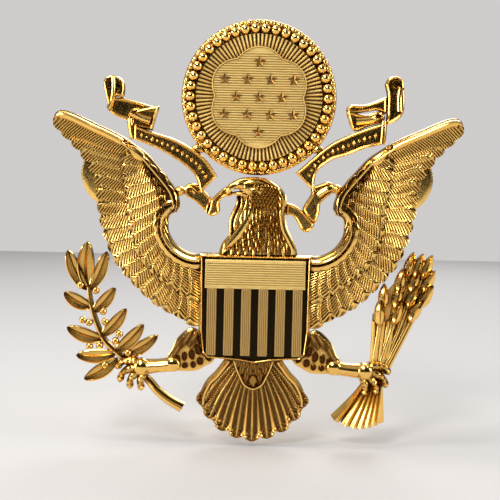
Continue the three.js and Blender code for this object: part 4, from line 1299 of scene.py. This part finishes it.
def build_solder():
    spots = {"left_wing_solder": ((-12.0, 16.8), 1.0, 0.8, 1.9),
             "right_wing_solder": ((12.5, 17.6), 0.8, 0.8, 1.9),
             "left_disc_solder": ((-9.5, 23.4), 1.1, 0.7, 1.5),
             "right_disc_solder": ((9.3, 23.7), 1.1, 0.7, 1.5)}
    for name, ((x, z), wide, high, depth) in spots.items():
        outline = []
        for i in range(36):
            turn = 2 * math.pi * i / 36
            wobble = 1 + 0.12 * math.sin(3 * turn + x) + 0.06 * math.sin(5 * turn)
            outline.append((x + wide * wobble * math.cos(turn), z + high * wobble * math.sin(turn)))
        relief = Relief()
        relief.add(*dome(outline, (x, z), 0.25, 0.7, depth, rings=10))
        relief.settle(name, "solder", name)


def build_disc():
    polished, satin = finish_of("gold_plate"), finish_of("satin_gold")
    sizes = bpy.context.scene.badge_disc
    relief = Relief()
    relief.add(*turned([(0.0, 0.0), (12.0, 0.0), (12.1, -0.3), (12.0, -0.75), (11.7, -1.0), (10.1, -1.1),
                        (9.95, -1.5), (9.75, -1.5), (9.65, -1.15), (0.0, -1.15)], (0.0, DISC_Z), 160))
    relief.settle("glory_disc", "gold_plate", "glory_disc")

    def centre(depth):
        return (0.0, -depth * MM, DISC_Z * MM)

    def empty():
        return bpy.data.meshes.new("empty")

    settle(grown("large_beads", "beads", empty(), polished, Count=sizes.beads, Circle_radius=0.0107,
                 Bead_radius=sizes.bead_radius, Flatness=1.0, Centre=centre(1.35)),
           stands_for="bead_ring")
    settle(grown("small_beads", "beads", empty(), polished, Count=sizes.small_beads,
                 Circle_radius=0.01155, Bead_radius=0.00055, Flatness=1.0, Centre=centre(0.85)))
    settle(grown("rays", "rays", empty(), satin, Count=sizes.rays, Inner_radius=0.0068,
                 Outer_radius=0.0098, Width=0.0005, Height=0.0004, Centre=centre(1.3)),
           stands_for="ray_ring")

    panel = ring_of(180, 7.0, lobes=6, swell=1.0)
    plates = Relief()
    plates.framed(panel, 1.0, 1.95, 2.25, border=0.28, draft=0.12, shade=0.0)
    plates.settle("star_panel", "satin_gold", "star_panel")

    pitch = bpy.context.scene.badge_lines.pitch / MM * 1.05
    points, reach = [], []
    for i in range(-18, 19):
        z = i * pitch
        inside = [abs(x) for x, h in offset(panel, 0.36, closed=True) if abs(h - DISC_Z - z) < 0.13]
        if inside:
            points.append((0.0, 1.95, DISC_Z + z))
            reach.append(min(inside) * MM)
    settle(grown("panel_lines", "ridges", marked_points(points, reach=reach, turn=[0.0] * len(reach)),
                 satin, Width=pitch * 0.8 * MM, Height=0.00018))

    rows = [1, 4, 3, 4, 1]
    spots = []
    for row, count in enumerate(rows):
        for i in range(count):
            spots.append(((i - (count - 1) / 2) * 3.57, 2.15, DISC_Z + (2 - row) * 2.7))
    stars = grown("stars", "stars", marked_points(spots), polished, sharp=20, Radius=sizes.star_radius,
                  Waist=0.45, Height=0.00024)
    # Painted shade darkens the stars nearly to the shade colour of the grooves.
    paint_shade(stars, lambda spot: 0.95)
    settle(stars)


def build_clutch(side):
    x = -POST_X if side == "left" else POST_X
    centre = (x, POST_Z)
    post = Relief()
    post.add(*turned([(0, 0), (2.3, 0), (2.4, 0.12), (2.3, 0.4), (1.2, 0.5), (0.75, 0.7), (0.6, 1.0),
                      (0.6, 5.0), (0.52, 5.15), (0.52, 5.45), (0.6, 5.6), (0.6, 7.7), (0.35, 8.5),
                      (0.08, 8.95), (0, 9.0)], centre, 40))
    post.settle(f"{side}_post", "clutch_brass", f"{side}_post")

    base = Relief()
    base.add(*turned([(1.0, 0.8), (4.6, 0.8), (5.1, 0.86), (5.4, 1.0), (5.5, 1.25), (5.4, 1.55),
                      (5.1, 1.75), (4.8, 1.7), (4.7, 1.5), (4.4, 1.3), (3.6, 1.3), (3.4, 1.45),
                      (3.1, 1.4), (1.0, 1.4)], centre, 72))
    base.settle(f"{side}_clutch_base", "clutch_brass", f"{side}_clutch_base", body=f"{side}_clutch")

    housing = Relief()
    # The cover is two curved cheeks with the tabs' slots between them, under a round cap.
    for facing in (0.0, math.pi):
        cheek = []
        for k in range(19):
            turn = facing + math.radians(-38 + 76 * k / 18)
            cheek.append((x + 2.75 * math.cos(turn), POST_Z + 2.75 * math.sin(turn)))
        wall = [(-0.22, -1.4), (-0.25, -3.5), (-0.1, -3.85), (0.5, -3.98), (0.6, -3.8), (0.22, -3.5),
                (0.22, -1.4)]
        housing.add(*moulding(cheek, wall))
    housing.add(*turned([(1.0, 1.4), (1.9, 1.4), (2.0, 1.6), (1.45, 1.9), (1.3, 2.3), (1.3, 3.4),
                         (1.0, 3.5)], centre, 40))
    housing.settle(f"{side}_clutch_housing", "clutch_brass", f"{side}_clutch_housing",
                   body=f"{side}_clutch")

    lean = math.radians(28)
    for place, up in (("upper", 1), ("lower", -1)):
        tab = Relief()
        tab.add(*tab_form(x, up, lean))
        tab.settle(f"{side}_clutch_{place}_tab", "clutch_brass", f"{side}_clutch_{place}_tab",
                   body=f"{side}_{place}_tab")


def tab_form(x, up, lean):
    """A squeeze tab: a strip that widens and rolls over at its end, with a pressed finger grip."""
    length, pivot_y, pivot_z = 3.6, 2.7, 1.7
    stations = 22
    columns = 11
    points = []
    for i in range(stations):
        t = i / (stations - 1)
        half = 1.5 + 0.75 * min(1.0, t * 2.2) - 0.35 * max(0.0, t - 0.85) / 0.15
        rise = 0.28 * math.sin(math.pi * min(1.0, t * 3)) + (0.9 * (t - 0.8) ** 2 * 12 if t > 0.8 else 0.0)
        for face in (1, -1):
            for j in range(columns) if face == 1 else range(columns - 1, -1, -1):
                s = 2 * j / (columns - 1) - 1
                pressed = min(1.0, max(0.0, t - 0.25) / 0.6)
                grip = 0.1 * math.cos(math.pi * s / 2) * math.sin(math.pi * pressed)
                along, across = t * length, rise - grip + face * 0.17
                y = pivot_y + along * math.sin(lean) + across * math.cos(lean)
                z = pivot_z + along * math.cos(lean) - across * math.sin(lean)
                points.append((x + s * half, y, POST_Z + up * z))
    count = 2 * columns
    faces = grid_faces(stations, count, wrap_columns=True)
    faces.append(tuple(range(count)))
    faces.append(tuple(range((stations - 1) * count, stations * count)))
    return points, faces


# ---- stage ----

VIEW_WIDTH = 0.0785     # how much the camera sees at the badge
SENSOR = 36.0           # in millimetres
FLOOR_GAP = 0.0003      # the badge stands just clear of the floor


def build_floor(scene, stage):
    size = stage.floor_size
    mesh = bpy.data.meshes.new("floor")
    z = cad_box[0][2] - FLOOR_GAP
    mesh.from_pydata([(-size, -size, z), (size, -size, z), (size, size, z), (-size, size, z)], [],
                     [(0, 1, 2, 3)])
    floor = bpy.data.objects.new("floor", mesh)
    scene.collection.objects.link(floor)
    paint = bpy.data.materials.new("pale_floor")
    paint.use_nodes = True
    paint.node_tree.nodes["Principled BSDF"].inputs["Base Color"].default_value = (*stage.floor, 1.0)
    paint.node_tree.nodes["Principled BSDF"].inputs["Roughness"].default_value = 0.85
    mesh.materials.append(paint)


def build_lights(scene, stage):
    # Each soft box: its place, its side, its power and its colour.
    lights = [((-0.15, -0.03, 0.34), 0.20, stage.key, (1.0, 0.98, 0.94)),
              ((-0.10, -0.30, 0.26), 0.10, stage.key * 0.8, (1.0, 0.98, 0.95)),
              ((0.34, -0.08, 0.12), 0.16, stage.key * 0.5, (1.0, 0.97, 0.92)),
              ((-0.34, -0.08, 0.04), 0.16, stage.key * 0.6, (0.97, 0.98, 1.0)),
              ((0.08, 0.34, 0.24), 0.2, stage.key * 0.6, (1.0, 1.0, 1.0))]
    aim = Vector((0.0, 0.0, 0.01))
    for i, (place, side, power, colour) in enumerate(lights):
        data = bpy.data.lights.new(f"soft_box_{i + 1}", "AREA")
        data.shape = "SQUARE"
        data.size = side
        data.energy = power
        data.color = colour
        lamp = bpy.data.objects.new(data.name, data)
        lamp.location = place
        lamp.rotation_euler = (aim - Vector(place)).to_track_quat("-Z", "Y").to_euler()
        scene.collection.objects.link(lamp)


def build_room(scene, stage):
    """The room is dark in front of the badge and bright overhead."""
    world = bpy.data.worlds.new("studio")
    scene.world = world
    world.use_nodes = True
    nodes, links = world.node_tree.nodes, world.node_tree.links
    way = nodes.new("ShaderNodeTexCoord")
    parts = nodes.new("ShaderNodeSeparateXYZ")
    links.new(way.outputs["Generated"], parts.inputs["Vector"])

    def ramp(value, stops):
        made = nodes.new("ShaderNodeValToRGB")
        links.new(value, made.inputs["Fac"])
        for place, grey in stops[:-2]:
            made.color_ramp.elements.new(place)
        for element, (place, grey) in zip(made.color_ramp.elements, stops):
            element.position = place
            element.color = (grey, grey, grey, 1.0)
        return made.outputs["Color"]

    def shifted(value):
        made = nodes.new("ShaderNodeMath")
        made.operation = "MULTIPLY_ADD"
        links.new(value, made.inputs[0])
        made.inputs[1].default_value = 0.5
        made.inputs[2].default_value = 0.5
        return made.outputs[0]

    high = ramp(shifted(parts.outputs["Z"]), [(0.0, 0.2), (0.45, 0.2), (0.62, 0.6), (1.0, 1.0)])
    front = ramp(shifted(parts.outputs["Y"]), [(0.0, 0.01), (0.14, 0.03), (0.30, 0.8), (1.0, 1.0)])
    both = nodes.new("ShaderNodeMix")
    both.data_type = "RGBA"
    both.blend_type = "MULTIPLY"
    both.inputs["Factor"].default_value = 1.0
    links.new(high, both.inputs["A"])
    links.new(front, both.inputs["B"])
    links.new(both.outputs["Result"], nodes["Background"].inputs["Color"])
    nodes["Background"].inputs["Strength"].default_value = stage.room
    backdrop = nodes.new("ShaderNodeBackground")
    backdrop.inputs["Color"].default_value = (*stage.backdrop, 1.0)
    seen = nodes.new("ShaderNodeLightPath")
    mix = nodes.new("ShaderNodeMixShader")
    links.new(seen.outputs["Is Camera Ray"], mix.inputs["Fac"])
    links.new(nodes["Background"].outputs[0], mix.inputs[1])
    links.new(backdrop.outputs[0], mix.inputs[2])
    links.new(mix.outputs[0], nodes["World Output"].inputs["Surface"])


def build_camera(scene, stage):
    camera = bpy.data.cameras.new("camera")
    eye = bpy.data.objects.new("camera", camera)
    scene.collection.objects.link(eye)
    # The view is rolled a little, with the badge's origin just left of and below its middle.
    distance = stage.distance
    camera.sensor_width = SENSOR
    camera.lens = SENSOR * distance / VIEW_WIDTH
    roll, rise = math.radians(1.25), math.radians(stage.rise)
    target = Vector((-0.0009, -0.001, 0.0078))
    direction = Vector((0.0, -math.cos(rise), math.sin(rise)))
    turn = (-direction).to_track_quat("-Z", "Y").to_matrix() @ Matrix.Rotation(roll, 3, "Z")
    eye.matrix_world = Matrix.Translation(target + direction * distance) @ turn.to_4x4()
    camera.clip_start = 0.001
    scene.camera = eye


def build_stage():
    scene = bpy.context.scene
    for part in (build_floor, build_lights, build_room, build_camera):
        part(scene, scene.badge_stage)
    scene.view_settings.view_transform = "Standard"


# ---- what a user may change ----


class BadgeFeathers(bpy.types.PropertyGroup):
    barb_pitch: FloatProperty(name="Barb pitch", description="Spacing of the barbs on a feather",
                              default=0.00042, min=0.0002, unit="LENGTH", precision=5)
    barb_depth: FloatProperty(name="Barb depth", description="Height of the barbs over their grooves",
                              default=0.0002, min=0.0, unit="LENGTH", precision=5)
    outer: IntProperty(name="Outer feathers", description="Feathers in a wing's outer tier",
                       default=18, min=6)
    middle: IntProperty(name="Middle feathers", description="Feathers in a wing's middle tier",
                        default=15, min=6)


class BadgeDisc(bpy.types.PropertyGroup):
    beads: IntProperty(name="Large beads", description="Beads in the ring round the rays",
                       default=42, min=12)
    bead_radius: FloatProperty(name="Bead radius", description="Radius of a large bead",
                               default=0.00078, min=0.0002, unit="LENGTH", precision=5)
    small_beads: IntProperty(name="Small beads", description="Beads on the disc's edge",
                             default=62, min=12)
    rays: IntProperty(name="Rays", description="Rays between the panel and the beads",
                      default=94, min=12)
    star_radius: FloatProperty(name="Star radius", description="From a star's centre to its points",
                               default=0.001, min=0.0003, unit="LENGTH", precision=5)


class BadgeLines(bpy.types.PropertyGroup):
    pitch: FloatProperty(name="Line pitch", description="Spacing of the fine lines on flat grounds",
                         default=0.00036, min=0.0002, unit="LENGTH", precision=5)


class BadgeFinish(bpy.types.PropertyGroup):
    gold: FloatVectorProperty(name="Gold", description="Colour of the plating", subtype="COLOR",
                              default=(1.0, 0.62, 0.17), min=0.0, max=1.0)
    # Painted shade: the colour that grooves and recesses are darkened towards, standing in for their shade.
    painted_shade: FloatVectorProperty(name="Grooves", description="Colour of the metal deep in the grooves",
                                subtype="COLOR", default=(0.13, 0.042, 0.007), min=0.0, max=1.0)
    # Painted shade: the colour that the lined grounds' grooves are darkened towards.
    ground_painted_shade: FloatVectorProperty(name="Lined ground's grooves", subtype="COLOR", size=3,
                                       description="Colour deep in the lined grounds' grooves",
                                       default=(0.36, 0.19, 0.05), min=0.0, max=1.0)
    ground: FloatVectorProperty(name="Lined ground", description="Colour of the finely lined ground",
                                subtype="COLOR", default=(1.0, 0.74, 0.27), min=0.0, max=1.0)
    polish: FloatProperty(name="Polish", description="Roughness of the polished gold", default=0.16,
                          min=0.0, max=1.0, subtype="FACTOR")
    satin: FloatProperty(name="Satin", description="Roughness of the lined grounds", default=0.45,
                         min=0.0, max=1.0, subtype="FACTOR")


class BadgeStage(bpy.types.PropertyGroup):
    floor: FloatVectorProperty(name="Floor", description="Colour of the floor", subtype="COLOR",
                               default=(0.50, 0.49, 0.49), min=0.0, max=1.0)
    backdrop: FloatVectorProperty(name="Backdrop", description="Colour seen behind the badge",
                                  subtype="COLOR", default=(0.62, 0.60, 0.60), min=0.0, max=1.0)
    room: FloatProperty(name="Room light", description="Strength of the light from the room",
                        default=0.5, min=0.0)
    floor_size: FloatProperty(name="Floor size", description="Half the side of the floor", default=0.4,
                              min=0.2, unit="LENGTH")
    key: FloatProperty(name="Key light", description="Power of the main light", default=1.1, min=0.0,
                       unit="POWER")
    distance: FloatProperty(name="Camera distance", description="From the camera to the badge",
                            default=0.19, min=0.05, unit="LENGTH")
    rise: FloatProperty(name="Camera rise", description="Angle of the camera above level, in degrees",
                        default=4.0, min=-20.0, max=60.0)


# ---- operators and panel ----


class BADGE_OT_body(bpy.types.Operator):
    """Builds the body plate behind the shield"""
    bl_idname = "badge.body"
    bl_label = "Body"

    def execute(self, context):
        build_body()
        return {"FINISHED"}


class BADGE_OT_shield(bpy.types.Operator):
    """Builds the shield with its lined chief and bars"""
    bl_idname = "badge.shield"
    bl_label = "Shield"

    def execute(self, context):
        build_shield()
        return {"FINISHED"}


class BADGE_OT_left_wing(bpy.types.Operator):
    """Builds the left wing"""
    bl_idname = "badge.left_wing"
    bl_label = "Left Wing"

    def execute(self, context):
        build_wing("left")
        return {"FINISHED"}


class BADGE_OT_right_wing(bpy.types.Operator):
    """Builds the right wing"""
    bl_idname = "badge.right_wing"
    bl_label = "Right Wing"

    def execute(self, context):
        build_wing("right")
        return {"FINISHED"}


class BADGE_OT_tail(bpy.types.Operator):
    """Builds the fan of the tail"""
    bl_idname = "badge.tail"
    bl_label = "Tail"

    def execute(self, context):
        build_tail()
        return {"FINISHED"}


class BADGE_OT_head(bpy.types.Operator):
    """Builds the head and neck"""
    bl_idname = "badge.head"
    bl_label = "Head and Neck"

    def execute(self, context):
        build_head()
        return {"FINISHED"}


class BADGE_OT_legs(bpy.types.Operator):
    """Builds both legs and their claws"""
    bl_idname = "badge.legs"
    bl_label = "Legs"

    def execute(self, context):
        for side in ("left", "right"):
            build_leg(side)
        return {"FINISHED"}


class BADGE_OT_branch(bpy.types.Operator):
    """Builds the olive branch"""
    bl_idname = "badge.branch"
    bl_label = "Olive Branch"

    def execute(self, context):
        build_branch()
        return {"FINISHED"}


class BADGE_OT_arrows(bpy.types.Operator):
    """Builds the bundle of arrows"""
    bl_idname = "badge.arrows"
    bl_label = "Arrows"

    def execute(self, context):
        build_arrows()
        return {"FINISHED"}


class BADGE_OT_ribbons(bpy.types.Operator):
    """Builds both halves of the ribbon"""
    bl_idname = "badge.ribbons"
    bl_label = "Ribbons"

    def execute(self, context):
        for side in ("left", "right"):
            build_ribbon(side)
        return {"FINISHED"}


class BADGE_OT_solder(bpy.types.Operator):
    """Builds the solder fillets"""
    bl_idname = "badge.solder"
    bl_label = "Solder"

    def execute(self, context):
        build_solder()
        return {"FINISHED"}


class BADGE_OT_disc(bpy.types.Operator):
    """Builds the disc of beads, rays and stars"""
    bl_idname = "badge.disc"
    bl_label = "Ray Disc"

    def execute(self, context):
        build_disc()
        return {"FINISHED"}


class BADGE_OT_clutches(bpy.types.Operator):
    """Builds both posts and their clutches"""
    bl_idname = "badge.clutches"
    bl_label = "Posts and Clutches"

    def execute(self, context):
        for side in ("left", "right"):
            build_clutch(side)
        return {"FINISHED"}


class BADGE_OT_stage(bpy.types.Operator):
    """Builds the floor, the lights, the room and the camera"""
    bl_idname = "badge.stage"
    bl_label = "Stage"

    def execute(self, context):
        build_stage()
        return {"FINISHED"}


OPERATORS = [BADGE_OT_body, BADGE_OT_shield, BADGE_OT_left_wing, BADGE_OT_right_wing, BADGE_OT_tail,
             BADGE_OT_head, BADGE_OT_legs, BADGE_OT_branch, BADGE_OT_arrows, BADGE_OT_ribbons,
             BADGE_OT_solder, BADGE_OT_disc, BADGE_OT_clutches, BADGE_OT_stage]


class BADGE_PT_panel(bpy.types.Panel):
    bl_label = "Cap Badge"
    bl_idname = "BADGE_PT_panel"
    bl_space_type = "VIEW_3D"
    bl_region_type = "UI"
    bl_category = "Badge"

    def draw(self, context):
        for made in OPERATORS:
            self.layout.operator(made.bl_idname)
        for group in GROUPS:
            box = self.layout.box()
            settings = getattr(context.scene, group)
            for key in settings.bl_rna.properties.keys():
                if key not in {"rna_type", "name"}:
                    box.prop(settings, key)


GROUPS = {"badge_feathers": BadgeFeathers, "badge_disc": BadgeDisc, "badge_lines": BadgeLines,
          "badge_finish": BadgeFinish, "badge_stage": BadgeStage}


def register():
    for made in [*GROUPS.values(), *OPERATORS, BADGE_PT_panel]:
        bpy.utils.register_class(made)
    for label, group in GROUPS.items():
        setattr(bpy.types.Scene, label, PointerProperty(type=group))


def unregister():
    for label in GROUPS:
        delattr(bpy.types.Scene, label)
    for made in reversed([*GROUPS.values(), *OPERATORS, BADGE_PT_panel]):
        bpy.utils.unregister_class(made)


def main():
    register()
    for made in OPERATORS:
        getattr(bpy.ops.badge, made.bl_idname.split(".")[1])()


if __name__ == "__main__":
    main()
